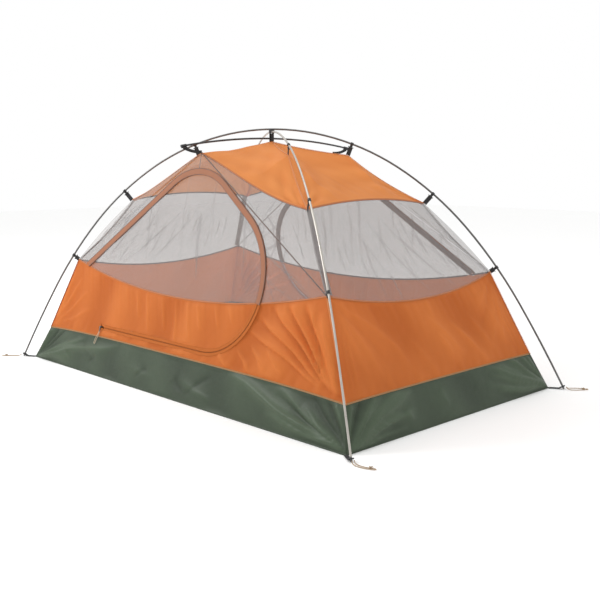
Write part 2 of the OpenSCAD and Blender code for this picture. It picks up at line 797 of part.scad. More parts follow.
// A clip's own frame: X along the pole, -Z toward the fabric
module at_clip(b, i) {
    p = bow_point(b, clip_share(b, i));
    translate([p.x, 0, p.y]) rotate([0, bow_fall(b, clip_share(b, i)), 0]) children();
}
module each_clip() {
    for (i = [0:2]) {
        for (a = [0, 180]) {
            rotate([0, 0, a + diagonal]) at_clip(upper_bow, i) {
                children(0);
                children(1 + i);
            }
            rotate([0, 0, a - diagonal]) at_clip(lower_bow, i) {
                children(0);
                children(1 + i);
            }
        }
    }
}
hook_d = pole_d + 2 * slip + 2 * clip_wall;
buckle_top = -hook_d / 2 - clip_neck;
module hook() {
    difference() {
        union() {
            translate([-clip_w / 2, 0, 0]) rotate([0, 90, 0]) cylinder(h = clip_w, d = hook_d, $fn = 48);
            translate([-clip_w / 2, -1.5, buckle_top - 1]) cube([clip_w, 3, clip_neck + 3]);
            translate([-strap_w / 2 - 3, -1.5 - strap_t, buckle_top - 3])
                cube([strap_w + 6, 3 + 2 * strap_t, 3]);
        }
        translate([-clip_w, 0, 0]) rotate([0, 90, 0])
            cylinder(h = 2 * clip_w, d = pole_d + 2 * slip, $fn = 48);
        translate([-clip_w, 1, 0]) cube([2 * clip_w, hook_d, pole_d * 0.36]);
    }
}
module pole_clips() {
    color("black") each_clip() {
        hook();
        union() {}
        union() {}
        union() {}
    }
}
module clip_strap(drop) {
    top = buckle_top - 3;
    translate([-strap_w / 2, -strap_t / 2, -drop + hair])
        cube([strap_w, strap_t, drop + top - 2 * hair]);
}
module clip_straps() {
    color("black") each_clip() {
        union() {}
        clip_strap(low_drop);
        clip_strap(mid_drop);
        clip_strap(top_drop);
    }
}

// ---- Crossing clip and its strap ----------------------------------------
crossing_d = 26;
crossing_top = apex_h + 1.5;
crossing_bottom = apex_h - cross_gap - 7.5;
module pole_channel(z, open_up) {
    room = pole_d + 2 * slip;
    translate([0, 0, z]) {
        rotate([0, 90, 0]) translate([0, 0, -crossing_d])
            cylinder(h = 2 * crossing_d, d = room, $fn = 48);
        translate([-crossing_d, -room * 0.42, open_up ? 0 : -crossing_d])
            cube([2 * crossing_d, room * 0.84, crossing_d]);
    }
}
module crossing_clip() {
    color("black") difference() {
        translate([0, 0, crossing_bottom])
            cylinder(h = crossing_top - crossing_bottom, d = crossing_d, $fn = 64);
        along_upper() pole_channel(apex_h, true);
        along_lower() pole_channel(apex_h - cross_gap, false);
    }
}
// Two layers of webbing hang from the clip, one on each side of the ridge pole
module crossing_strap() {
    foot = roof_apex.z + hair;
    color("black") for (side = [-1, 1])
        translate([side * (pole_d / 2 + 1.5) + (side < 0 ? -strap_t : 0), -strap_w * 0.4, foot])
            cube([strap_t, strap_w * 0.8, crossing_bottom - hair - foot]);
}

// ---- Ends of the ridge pole ---------------------------------------------
cap_l = 26;
cap_wall = 2;
ridge_tilt = (ridge_whole[3] - ridge_whole[2]) / 2;
module each_ridge_end() {
    for (a = [90, -90])
        rotate([0, 0, a]) translate([ridge_l / 2, 0, ridge_z - ridge_rise])
            rotate([0, ridge_tilt, 0]) children();
}
module ridge_end_caps() {
    color("black") each_ridge_end() difference() {
        union() {
            translate([-cap_l + 6, 0, 0]) rotate([0, 90, 0])
                cylinder(h = cap_l, d = pole_d + 2 * slip + 2 * cap_wall, $fn = 48);
            translate([-cap_l + 6, -8, -pole_d / 2 - cap_wall - 3]) cube([cap_l - 4, 16, 3.6]);
        }
        translate([-cap_l, 0, 0]) rotate([0, 90, 0])
            cylinder(h = cap_l + slip, d = pole_d + 2 * slip, $fn = 48);
    }
}
// Webbing from under each cap back to the peak of the fabric
module ridge_end_straps() {
    out = [ridge_l / 2 - 8, ridge_z - ridge_rise - pole_d / 2 - cap_wall - 5.5];
    back = [door_peak.y + 2, door_peak.z + 1];
    run = out - back;
    color("black") for (a = [90, -90])
        rotate([0, 0, a]) translate([back.x, -6, back.y])
            rotate([0, -atan2(run.y, run.x), 0]) cube([norm(run), 12, strap_t]);
}

// ---- Peg loops ----------------------------------------------------------
// Each is one cord from its eyelet out over the ground to a knot and back.
// Places are measured from the pole's foot, in the tent's own directions.
near_left_route = [
    [-6, -12, 9], [-11, -17, 6], [-17, -23, 3], [-24, -30, 2], [-31, -37, 1.8],
    [-38, -44, 1.8], [-45, -51, 1.8], [-52, -58, 1.8], [-59, -65, 1.8], [-66, -72, 1.8],
    [-73, -78, 2], [-79, -83, 2.2], [-84, -82, 2.4], [-84, -77, 2.4], [-79, -72, 2.2],
    [-73, -66, 2], [-67, -59, 1.8], [-60, -52, 1.8], [-53, -45, 1.8], [-46, -38, 1.8],
    [-39, -31, 1.8], [-31, -24, 2], [-23, -17, 3], [-16, -11, 6], [-11, -6, 9]
];
near_right_route = [
    [10, -8, 9], [15, -12, 6], [21, -15, 3], [29, -18, 2], [37, -20, 1.8],
    [46, -21, 1.8], [55, -21, 1.8], [64, -20, 1.8], [73, -18, 1.8], [82, -15, 1.8],
    [91, -12, 1.8], [99, -9, 2], [106, -6, 2.2], [110, -1, 2.4], [107, 3, 2.4],
    [100, 3, 2.2], [92, 0, 1.8], [83, -3, 1.8], [74, -6, 1.8], [65, -8, 1.8],
    [56, -9, 1.8], [47, -9, 1.8], [38, -8, 1.8], [29, -6, 2], [21, -3, 3],
    [15, 0, 6], [11, 3, 9]
];
far_right_route = [
    [12, 2, 9], [18, 1, 6], [25, 1, 3], [33, 2, 2], [41, 6, 1.8],
    [49, 12, 1.8], [56, 19, 1.8], [63, 27, 1.8], [69, 35, 1.8], [74, 43, 1.8],
    [79, 51, 2], [83, 58, 2.2], [84, 65, 2.4], [79, 68, 2.4], [73, 65, 2.2],
    [66, 61, 1.8], [57, 57, 1.8], [48, 53, 1.8], [39, 48, 1.8], [31, 42, 1.8],
    [24, 35, 1.8], [18, 27, 2], [13, 19, 3], [9, 13, 6], [7, 9, 9]
];
far_left_route = [
    [-7, 11, 9], [-11, 17, 6], [-15, 24, 3], [-20, 32, 2], [-26, 40, 1.8],
    [-32, 48, 1.8], [-39, 56, 1.8], [-46, 63, 1.8], [-53, 70, 1.8], [-60, 76, 1.8],
    [-68, 81, 2], [-75, 83, 2.2], [-80, 79, 2.4], [-79, 72, 2.4], [-74, 66, 2.2],
    [-68, 60, 1.8], [-62, 53, 1.8], [-56, 46, 1.8], [-50, 39, 1.8], [-43, 32, 1.8],
    [-36, 25, 1.8], [-29, 19, 2], [-22, 13, 3], [-16, 8, 6], [-12, 4, 9]
];
foot_corner = [span * cos(diagonal), span * sin(diagonal), 0];
module near_left_peg_loop() {
    color("tan") translate(near(left(foot_corner))) cord(near_left_route, peg_cord_d);
}
module near_right_peg_loop() {
    color("tan") translate(near(foot_corner)) cord(near_right_route, peg_cord_d);
}
module far_left_peg_loop() {
    color("tan") translate(left(foot_corner)) cord(far_left_route, peg_cord_d);
}
module far_right_peg_loop() {
    color("tan") translate(foot_corner) cord(far_right_route, peg_cord_d);
}

// ---- What is drawn ------------------------------------------------------
groundsheet_floor();
groundsheet_near_side();
groundsheet_far_side();
groundsheet_left_side();
groundsheet_right_side();
near_lower_wall();
far_lower_wall();
left_lower_wall();
right_lower_wall();
near_mesh_panel();
far_mesh_panel();
left_mesh_panel();
right_mesh_panel();
near_left_mesh_gusset();
near_right_mesh_gusset();
far_left_mesh_gusset();
far_right_mesh_gusset();
near_roof_panel();
far_roof_panel();
left_roof_panel();
right_roof_panel();
corner_seam_bands();
near_door_lower_panel();
near_door_mesh_panel();
near_door_zip_half();
near_door_zip_cover();
near_wall_zip_half();
far_door_lower_panel();
far_door_mesh_panel();
far_door_zip_half();
far_door_zip_cover();
far_wall_zip_half();
near_zip_slider();
near_pull_tab();
near_pull_cord();
far_zip_slider();
far_pull_tab();
far_pull_cord();
upper_long_pole();
lower_long_pole();
ridge_pole();
pole_ferrules();
pole_shock_cords();
pole_tips();
crossing_clip();
crossing_strap();
pole_clips();
clip_straps();
ridge_end_caps();
ridge_end_straps();
corner_straps();
foot_eyelets();
near_left_peg_loop();
near_right_peg_loop();
far_left_peg_loop();
far_right_peg_loop();
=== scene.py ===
import math

import bpy
import numpy as np
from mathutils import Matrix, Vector, geometry


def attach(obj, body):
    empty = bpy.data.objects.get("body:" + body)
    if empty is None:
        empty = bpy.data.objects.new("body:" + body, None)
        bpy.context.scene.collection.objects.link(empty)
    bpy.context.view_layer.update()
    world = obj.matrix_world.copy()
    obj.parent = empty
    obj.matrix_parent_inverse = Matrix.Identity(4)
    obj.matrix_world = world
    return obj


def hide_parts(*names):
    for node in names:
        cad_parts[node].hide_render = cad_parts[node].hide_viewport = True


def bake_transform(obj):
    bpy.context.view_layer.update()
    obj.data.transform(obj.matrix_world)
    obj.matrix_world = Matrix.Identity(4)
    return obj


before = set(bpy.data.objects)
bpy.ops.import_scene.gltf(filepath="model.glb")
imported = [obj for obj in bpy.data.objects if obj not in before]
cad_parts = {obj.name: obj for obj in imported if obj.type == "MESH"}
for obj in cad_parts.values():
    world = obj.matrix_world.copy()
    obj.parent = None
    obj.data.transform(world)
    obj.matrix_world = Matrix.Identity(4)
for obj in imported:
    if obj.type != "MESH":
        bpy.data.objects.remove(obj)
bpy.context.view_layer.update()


# ---- Camera, floor and studio light -------------------------------------
# The tent stands on a plain white floor and is seen from its near right
# corner at the eye level of someone who sits. Big soft lamps light it from
# above and from the left, so the long side is a little brighter.
eye = Vector((3.104, -2.834, 1.007))
heading = math.radians(45.8)
dip = math.radians(8.9)
camera = bpy.data.objects.new("camera", bpy.data.cameras.new("camera"))
bpy.context.collection.objects.link(camera)
camera.data.sensor_width = 36
camera.data.lens = 53.2
camera.location = eye
sight = Vector((-math.sin(heading) * math.cos(dip), math.cos(heading) * math.cos(dip), -math.sin(dip)))
camera.rotation_euler = sight.to_track_quat("-Z", "Y").to_euler()
bpy.context.scene.camera = camera
bpy.context.scene.view_settings.view_transform = "Standard"


def softbox(name, place, aim, size, watts):
    """A square lamp that faces a place on the tent."""
    lamp = bpy.data.lights.new(name, "AREA")
    lamp.size = size
    lamp.energy = watts
    stand = bpy.data.objects.new(name, lamp)
    stand.location = place
    stand.rotation_euler = (Vector(aim) - Vector(place)).to_track_quat("-Z", "Y").to_euler()
    bpy.context.collection.objects.link(stand)


softbox("key_lamp", (-3.4, -3.6, 3.4), (0, 0, 0.4), 1.6, 130)
softbox("top_lamp", (-0.6, -0.4, 5.0), (0, 0, 0.5), 3.0, 40)
world = bpy.data.worlds.new("studio")
bpy.context.scene.world = world
world.use_nodes = True
world.node_tree.nodes["Background"].inputs["Color"].default_value = (1, 1, 1, 1)
world.node_tree.nodes["Background"].inputs["Strength"].default_value = 1.0

floor_half = 14
floor_mesh = bpy.data.meshes.new("studio_floor")
floor_mesh.from_pydata([(-floor_half, -floor_half, -0.001), (floor_half, -floor_half, -0.001),
                        (floor_half, floor_half, -0.001), (-floor_half, floor_half, -0.001)],
                       [], [(0, 1, 2, 3)])
studio_floor = bpy.data.objects.new("studio_floor", floor_mesh)
bpy.context.collection.objects.link(studio_floor)
floor_paint = bpy.data.materials.new("white_floor")
floor_paint.use_nodes = True
floor_shader = floor_paint.node_tree.nodes["Principled BSDF"]
floor_shader.inputs["Base Color"].default_value = (0.97, 0.97, 0.965, 1)
floor_shader.inputs["Roughness"].default_value = 0.9
floor_shader.inputs["Specular IOR Level"].default_value = 0.1
floor_mesh.materials.append(floor_paint)


# ---- Peg loops and pull cords -------------------------------------------
# Thin braided cords. A peg loop is tied to each foot eyelet, runs out over
# the ground as two strands with a knot near its end, and a peg goes in the
# loop. A short pale cord is looped through each zip slider's pull tab.
class Value:
    """Something that varies over a surface: a shader socket that takes part in sums."""

    def __init__(self, look, socket):
        self.look = look
        self.socket = socket

    def sum(self, operation, *terms):
        return self.look.node("ShaderNodeMath", {"operation": operation}, dict(enumerate(terms)))

    def __add__(self, other):
        return self.sum("ADD", self, other)

    def __sub__(self, other):
        return self.sum("SUBTRACT", self, other)

    def __mul__(self, other):
        return self.sum("MULTIPLY", self, other)

    def __mod__(self, other):
        return self.sum("FRACT", self.sum("DIVIDE", self, other)) * other

    def __lt__(self, other):
        return self.sum("LESS_THAN", self, other)

    def __gt__(self, other):
        return self.sum("GREATER_THAN", self, other)


class Look:
    """A finish: one material, built from node expressions around one shader."""

    def __init__(self, name, roughness, **settings):
        self.material = bpy.data.materials.new(name)
        self.material.use_nodes = True
        self.tree = self.material.node_tree
        self.shader = self.tree.nodes["Principled BSDF"]
        self.set("Roughness", roughness)
        for socket, value in settings.items():
            self.set(socket.replace("_", " "), value)

    def node(self, kind, settings=None, inputs=None, out=0):
        node = self.tree.nodes.new(kind)
        for key, value in (settings or {}).items():
            setattr(node, key, value)
        for key, value in (inputs or {}).items():
            self.feed(node.inputs[key], value)
        return Value(self, node.outputs[out])

    def feed(self, socket, value):
        if isinstance(value, Value):
            self.tree.links.new(value.socket, socket)
        elif isinstance(value, (tuple, list)):
            socket.default_value = (*value, 1) if len(socket.default_value) > len(value) else value
        else:
            socket.default_value = value

    def set(self, socket, value):
        self.feed(self.shader.inputs[socket], value)

    def mix(self, a, b, share):
        """Colour a where share is 0 and colour b where it is 1."""
        return self.node("ShaderNodeMix", {"data_type": "RGBA"}, {0: share, 6: a, 7: b}, 2)

    def cut_point(self):
        """The place on the flat cloth that a point was cut from, in metres."""
        return self.node("ShaderNodeUVMap", {"uv_map": "cut"})

    def along(self):
        """How far across and how far along the cut piece a point lies."""
        split = self.tree.nodes.new("ShaderNodeSeparateXYZ")
        self.feed(split.inputs[0], self.cut_point())
        return Value(self, split.outputs[0]), Value(self, split.outputs[1])

    def noise(self, size, detail=2.0, place=None, roughness=0.5):
        """Soft random values about 0.5, with patches of that size in metres."""
        where = self.cut_point() if place is None else place
        return self.node("ShaderNodeTexNoise", {}, {"Vector": where, "Scale": 1 / size,
                                                    "Detail": detail, "Roughness": roughness})

    def bump(self, height, depth):
        """Stands the surface proud by up to depth metres where height is 1."""
        self.set("Normal", self.node("ShaderNodeBump", {}, {"Height": height, "Distance": depth,
                                                            "Strength": 1.0}))


def wave(value, pitch):
    """0 to 1 and back once every pitch metres."""
    return value.sum("SINE", value * (2 * math.pi / pitch)) * 0.5 + 0.5


def bands(value, pitch):
    """The same for plain numbers: a cosine of that pitch, -1 to 1."""
    return np.cos(value * (2 * math.pi / pitch))


def make_piece(name, points, faces, cut, look, body, nodes=(), slot=None):
    """A mesh object with the places of its points on the cut cloth as its map."""
    mesh = bpy.data.meshes.new(name)
    mesh.from_pydata([tuple(p) for p in points], [], [tuple(int(i) for i in f) for f in faces])
    cut = np.asarray(cut, float)
    layer = mesh.uv_layers.new(name="cut")
    loops = np.zeros(len(mesh.loops), np.int32)
    mesh.loops.foreach_get("vertex_index", loops)
    layer.data.foreach_set("uv", cut[loops].astype(np.float32).ravel())
    mesh.polygons.foreach_set("use_smooth", [True] * len(mesh.polygons))
    mesh.materials.append(look.material)
    mesh.update()
    piece = bpy.data.objects.new(name, mesh)
    bpy.context.collection.objects.link(piece)
    if body:
        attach(piece, body)
    if nodes:
        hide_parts(*nodes)
    return piece


def smooth_route(points, steps=4):
    """A finer line through the points of a route, without corners."""
    p = np.asarray(points, float)
    p = np.vstack([2 * p[0] - p[1], p, 2 * p[-1] - p[-2]])
    fine = []
    for a, b, c, d in zip(p[:-3], p[1:-2], p[2:-1], p[3:]):
        for i in range(steps):
            t = i / steps
            fine.append(0.5 * (2 * b + (c - a) * t + (2 * a - 5 * b + 4 * c - d) * t * t
                               + (3 * b - a - 3 * c + d) * t ** 3))
    return np.array(fine + [p[-2]])


def lengths_along(line):
    """How far along a line each of its points lies."""
    return np.concatenate([[0], np.cumsum(np.linalg.norm(np.diff(line, axis=0), axis=1))])


def ways_along(line):
    """Which way a line runs at each of its points."""
    steps = np.gradient(line, axis=0)
    return steps / np.linalg.norm(steps, axis=1)[:, None]


def tube_mesh(line, radius, sides=10):
    """Points, faces and map of a round tube with closed ends that follows a line."""
    steps = ways_along(line)
    side = np.cross(steps[0], [0.0, 0.0, 1.0] if abs(steps[0][2]) < 0.9 else [1.0, 0.0, 0.0])
    points, cut = [], []
    for place, step, far in zip(line, steps, lengths_along(line)):
        side = side - step * (side @ step)
        side /= np.linalg.norm(side)
        rise = np.cross(step, side)
        for i in range(sides):
            a = 2 * math.pi * i / sides
            points.append(place + radius * (math.cos(a) * side + math.sin(a) * rise))
            cut.append((a * radius, far))
    faces = []
    for ring in range(len(line) - 1):
        for i in range(sides):
            a = ring * sides + i
            b = ring * sides + (i + 1) % sides
            faces.append((a, b, b + sides, a + sides))
    faces.append(tuple(range(sides))[::-1])
    faces.append(tuple((len(line) - 1) * sides + i for i in range(sides)))
    return points, faces, cut


def cord_look(name, colour, dark):
    """A braid: two sets of strands that cross on a slant."""
    look = Look(name, 0.85)
    across, far = look.along()
    braid = wave(far + across * 1.2, 0.0022) * wave(far - across * 1.2, 0.0022)
    look.set("Base Color", look.mix(dark, colour, braid * 0.8 + look.noise(0.012) * 0.3))
    look.bump(braid, 0.0004)
    return look


MM = 0.001
tan_braid = cord_look("tan_cord_braid", (0.56, 0.42, 0.27), (0.3, 0.2, 0.12))
pale_braid = cord_look("pale_cord_braid", (0.78, 0.66, 0.5), (0.5, 0.38, 0.26))
peg_cord_d = 3 * MM
foot_reach = 64 * MM
knot_half = 7.5 * MM
knot_rise = 2.2 * MM
knot_rest = 4.5 * MM


def corner(node, way):
    """The place on a CAD node that lies farthest one way."""
    spots = np.array([v.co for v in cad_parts[node].data.vertices], float)
    return spots[np.argmax(spots @ np.array(way, float))]


ground_corner = corner("groundsheet_floor", (1, 1, -0.01)) * (1, 1, 0)
ground_reach = np.linalg.norm(ground_corner)
foot_place = ground_corner * (1 + foot_reach / ground_reach)

peg_routes = {
    "near_left": ((-1, -1), [
        (-6, -12, 9), (-11, -17, 6), (-17, -23, 3), (-24, -30, 2), (-31, -37, 1.8),
        (-38, -44, 1.8), (-45, -51, 1.8), (-52, -58, 1.8), (-59, -65, 1.8), (-66, -72, 1.8),
        (-73, -78, 2), (-79, -83, 2.2), (-84, -82, 2.4), (-84, -77, 2.4), (-79, -72, 2.2),
        (-73, -66, 2), (-67, -59, 1.8), (-60, -52, 1.8), (-53, -45, 1.8), (-46, -38, 1.8),
        (-39, -31, 1.8), (-31, -24, 2), (-23, -17, 3), (-16, -11, 6), (-11, -6, 9)]),
    "near_right": ((1, -1), [
        (10, -8, 9), (15, -12, 6), (21, -15, 3), (29, -18, 2), (37, -20, 1.8),
        (46, -21, 1.8), (55, -21, 1.8), (64, -20, 1.8), (73, -18, 1.8), (82, -15, 1.8),
        (91, -12, 1.8), (99, -9, 2), (106, -6, 2.2), (110, -1, 2.4), (107, 3, 2.4),
        (100, 3, 2.2), (92, 0, 1.8), (83, -3, 1.8), (74, -6, 1.8), (65, -8, 1.8),
        (56, -9, 1.8), (47, -9, 1.8), (38, -8, 1.8), (29, -6, 2), (21, -3, 3),
        (15, 0, 6), (11, 3, 9)]),
    "far_right": ((1, 1), [
        (12, 2, 9), (18, 1, 6), (25, 1, 3), (33, 2, 2), (41, 6, 1.8),
        (49, 12, 1.8), (56, 19, 1.8), (63, 27, 1.8), (69, 35, 1.8), (74, 43, 1.8),
        (79, 51, 2), (83, 58, 2.2), (84, 65, 2.4), (79, 68, 2.4), (73, 65, 2.2),
        (66, 61, 1.8), (57, 57, 1.8), (48, 53, 1.8), (39, 48, 1.8), (31, 42, 1.8),
        (24, 35, 1.8), (18, 27, 2), (13, 19, 3), (9, 13, 6), (7, 9, 9)]),
    "far_left": ((-1, 1), [
        (-7, 11, 9), (-11, 17, 6), (-15, 24, 3), (-20, 32, 2), (-26, 40, 1.8),
        (-32, 48, 1.8), (-39, 56, 1.8), (-46, 63, 1.8), (-53, 70, 1.8), (-60, 76, 1.8),
        (-68, 81, 2), (-75, 83, 2.2), (-80, 79, 2.4), (-79, 72, 2.4), (-74, 66, 2.2),
        (-68, 60, 1.8), (-62, 53, 1.8), (-56, 46, 1.8), (-50, 39, 1.8), (-43, 32, 1.8),
        (-36, 25, 1.8), (-29, 19, 2), (-22, 13, 3), (-16, 8, 6), (-12, 4, 9)]),
}


def knot_line(middle, heading_way, size, lift):
    """An overhand knot: the line of a trefoil lying flat round a place."""
    turn = np.linspace(0, 2 * math.pi, 60, endpoint=False)
    x = (np.sin(turn) + 2 * np.sin(2 * turn)) / 3
    y = (np.cos(turn) - 2 * np.cos(2 * turn)) / 3
    z = -np.sin(3 * turn)
    ahead = np.array([*heading_way, 0.0])
    ahead /= np.linalg.norm(ahead)
    aside = np.array([-ahead[1], ahead[0], 0.0])
    return (np.array(middle) + size * (x[:, None] * ahead + y[:, None] * aside)
            + z[:, None] * np.array([0, 0, lift]))


for quarter, (signs, route) in peg_routes.items():
    foot = foot_place * (*signs, 1)
    line = smooth_route(np.array(route) * MM + foot)
    loop = make_piece(quarter + "_peg_cord", *tube_mesh(line, peg_cord_d / 2), tan_braid, "tent",
                      [quarter + "_peg_loop"], "cord_tan")
    out_way = line[len(line) // 2][:2] - foot[:2]
    knot_spot = line[len(line) // 2] - 0.2 * np.array([*out_way, 0.0])
    knot_spot[2] = knot_rest
    knot = make_piece(quarter + "_peg_cord_knot",
                      *tube_mesh(knot_line(knot_spot, out_way, knot_half, knot_rise),
                                 peg_cord_d / 2 * 0.95, 8),
                      tan_braid, "tent", slot="cord_tan")


# The sides of the tent lean in, so each has its own straight rule: across,
# up the slope, and out of the cloth. Walls, doors and zips are laid out by it.
class Side:
    """One side of the tent, or the one opposite, half a turn round."""

    def __init__(self, across, foot, peak, turned):
        self.across = np.array(across, float)
        rise = np.array(peak) - np.array(foot)
        rise -= self.across * (rise @ self.across)
        self.up = rise / np.linalg.norm(rise)
        self.out = np.cross(self.across, self.up)
        start = np.array(foot) - self.across * (np.array(foot) @ self.across)
        self.start = start - self.up * start[2] / self.up[2]
        self.flip = np.array([-1, -1, 1]) if turned else np.array([1, 1, 1])

    def place(self, x, t, n=0.0):
        x, t, n = np.broadcast_arrays(np.asarray(x, float), t, n)
        spots = self.start + x[..., None] * self.across + t[..., None] * self.up + n[..., None] * self.out
        return spots * self.flip

    def read(self, spot):
        """Across and up the slope of a place."""
        off = np.array(spot) - self.start
        return np.array([off @ self.across, off @ self.up])


tub_corner = corner("near_lower_wall", (1, -1, -1))
wall_peak = corner("near_right_mesh_gusset", (1, -1, -1))
roof_tip = corner("right_roof_panel", (1, -0.4, -1))
roof_shoulder = corner("right_roof_panel", (0.3, -0.18, 1))
roof_apex = corner("near_roof_panel", (0, 0, 1)) * (0, 0, 1)
door_peak = corner("near_right_mesh_gusset", (-1, -0.1, 1))
mirror_x = np.array([-1, 1, 1])
mirror_y = np.array([1, -1, 1])
long_sides = {"near": Side((1, 0, 0), tub_corner, wall_peak, False),
              "far": Side((1, 0, 0), tub_corner, wall_peak, True)}
short_sides = {"right": Side((0, 1, 0), tub_corner, wall_peak, False),
               "left": Side((0, 1, 0), tub_corner, wall_peak, True)}
long_side = long_sides["near"]
short_side = short_sides["right"]

# Door outline, in metres across and up the slope of a long side
door_r = 0.315
door_low_x = 0.203
door_high_x = 0.011
door_foot = 0.217
door_h = 0.763
hinge_x = -0.560
door_slant = math.radians(34.7)
hinge_slope = math.radians(52)
zip_gap = 0.0055
door_t = door_foot / long_side.up[2]
low_middle = np.array([door_low_x, door_t + door_r])
high_middle = np.array([door_high_x, door_t + door_h - door_r])
hinge_foot = np.array([hinge_x, door_t])
hinge_way = np.array([-math.cos(hinge_slope), math.sin(hinge_slope)])
hinge_square = np.array([math.sin(hinge_slope), math.cos(hinge_slope)])
slant_way = np.array([math.cos(door_slant), math.sin(door_slant)])
slant_out = np.array([-math.sin(door_slant), math.cos(door_slant)])
side_turn = math.atan2(high_middle[0] - low_middle[0], high_middle[1] - low_middle[1])


def crossing(p, u, q, v):
    """Where the line from p along u meets the line from q along v."""
    return p + u * ((q[0] - p[0]) * v[1] - (q[1] - p[1]) * v[0]) / (u[0] * v[1] - u[1] * v[0])


def door_edge(grow, start=0.0, turns=(26, 34)):
    """The zip's way round the door, from the hinge's foot to its top, grown outward."""
    hinge_p = hinge_foot + start * hinge_square
    low_end = crossing(hinge_p, hinge_way, hinge_foot - [0, grow], np.array([1.0, 0.0]))
    high_p = high_middle + (door_r + grow) * slant_out
    high_end = crossing(hinge_p, hinge_way, high_p, slant_way)
    r = door_r + grow
    low = np.linspace(-math.pi / 2, -side_turn, turns[0])
    high = np.linspace(-side_turn, math.pi / 2 + door_slant, turns[1])
    return np.vstack([[low_end],
                      low_middle + r * np.column_stack([np.cos(low), np.sin(low)]),
                      high_middle + r * np.column_stack([np.cos(high), np.sin(high)]),
                      [high_end]])


pull_cord_d = 2.4 * MM
slider_l = 14 * MM
tab_l = 24 * MM
pin_n = 4.4 * MM
slider_home = hinge_foot - [slider_l / 2 + 12 * MM, 0]
pull_route = [
    (0, 1, 3), (-3, -4, 3), (-7, -12, 2.6), (-11, -20, 3.6), (-15, -28, 4.8),
    (-18, -36, 6.2), (-20, -44, 7.6), (-21, -52, 9), (-20, -59, 10.2), (-16, -63, 11),
    (-12, -62, 10.8), (-10, -56, 9.8), (-9, -48, 8.4), (-7, -40, 7), (-5, -32, 5.6),
    (-3, -24, 4.4), (-1, -16, 3.4), (1, -9, 3), (2, -3, 3)]
for end, side in long_sides.items():
    laid = np.array(pull_route) * MM + [slider_home[0], slider_home[1] - tab_l + 4 * MM, pin_n - 2.2 * MM]
    line = smooth_route(side.place(laid[:, 0], laid[:, 1], laid[:, 2]))
    pull = make_piece(end + "_zip_pull_loop", *tube_mesh(line, pull_cord_d / 2), pale_braid,
                      end + "_pull", [end + "_pull_cord"], "cord_pale")


# ---- Groundsheet --------------------------------------------------------
# A tub of coated cloth: a floor, and four sides sewn up from it that lean
# in. The corner straps pull on its ground corners, so long folds run from
# each corner up and along the sides. The coating shines on them, and their
# ridges are also painted lighter and their valleys painted darker.
def spread(outline, gap):
    """A closed or open line with no step longer than the gap."""
    fine = []
    for a, b in zip(outline[:-1], outline[1:]):
        n = max(1, int(math.ceil(np.linalg.norm(b - a) / gap)))
        fine += [a + (b - a) * i / n for i in range(n)]
    return np.array(fine + [outline[-1]])


def closed(outline):
    return np.vstack([outline, outline[:1]])


def inside(outline, spots):
    """Which of the places lie inside a closed outline."""
    x, y = spots[:, 0], spots[:, 1]
    within = np.zeros(len(spots), bool)
    ring = closed(outline)
    for (x0, y0), (x1, y1) in zip(ring[:-1], ring[1:]):
        if y0 != y1:
            within ^= ((y0 > y) != (y1 > y)) & (x < (x1 - x0) * (y - y0) / (y1 - y0) + x0)
    return within


def gap_to(lines, spots):
    """How far each place is from the nearest of some lines."""
    best = np.full(len(spots), 9.0)
    for line in lines:
        for a, b in zip(line[:-1], line[1:]):
            run = b - a
            share = np.clip(((spots - a) @ run) / max(run @ run, 1e-12), 0, 1)
            best = np.minimum(best, np.linalg.norm(spots - a - share[:, None] * run, axis=1))
    return best


def net(lines, keep, gap):
    """A fine net of triangles between lines, kept where keep() says."""
    lines = [spread(line, gap) for line in lines]
    low = np.min([line.min(0) for line in lines], 0)
    high = np.max([line.max(0) for line in lines], 0)
    rows = np.arange(low[1], high[1], gap * 0.866)
    grid = np.array([(x, y) for j, y in enumerate(rows)
                     for x in np.arange(low[0] + gap / 2 * (j % 2), high[0], gap)])
    grid = grid[keep(grid)]
    grid = grid[gap_to(lines, grid) > 0.5 * gap]
    spots, edges = [], []
    for line in lines:
        base = len(spots)
        spots += [Vector(p) for p in line]
        edges += [(base + i, base + i + 1) for i in range(len(line) - 1)]
    spots += [Vector(p) for p in grid]
    made = geometry.delaunay_2d_cdt(spots, edges, [], 0, 1e-6)
    flat = np.array([tuple(p) for p in made[0]])
    faces = np.array([f for f in made[2] if len(f) == 3])
    a, b, c = flat[faces[:, 0]], flat[faces[:, 1]], flat[faces[:, 2]]
    turn = (b[:, 0] - a[:, 0]) * (c[:, 1] - a[:, 1]) - (b[:, 1] - a[:, 1]) * (c[:, 0] - a[:, 0])
    faces[turn < 0] = faces[turn < 0][:, ::-1]
    faces = faces[keep((a + b + c) / 3) & (np.abs(turn) > 1e-9)]
    used, back = np.unique(faces, return_inverse=True)
    return flat[used], back.reshape(-1, 3)


def crease(spots, start, end, width, height, flare=0.6):
    """A long fold in tight cloth: a ridge from start to end that widens on its way."""
    start, end = np.array(start, float), np.array(end, float)
    run = end - start
    length = np.linalg.norm(run)
    run /= length
    off = spots - start
    share = np.clip(off @ run / length, 0, 1)
    beside = off @ np.array([-run[1], run[0]])
    beside = beside + 0.012 * length * np.sin(2.7 * math.pi * share + 40 * width)
    spread_out = width * (1 - flare + 2 * flare * share)
    ridge = np.exp(-np.sqrt((beside / spread_out) ** 2 + 0.05)) * 1.25
    ends = np.sin(math.pi * share) ** 0.8 * (off @ run > 0) * (off @ run < length)
    return height * ridge * ends


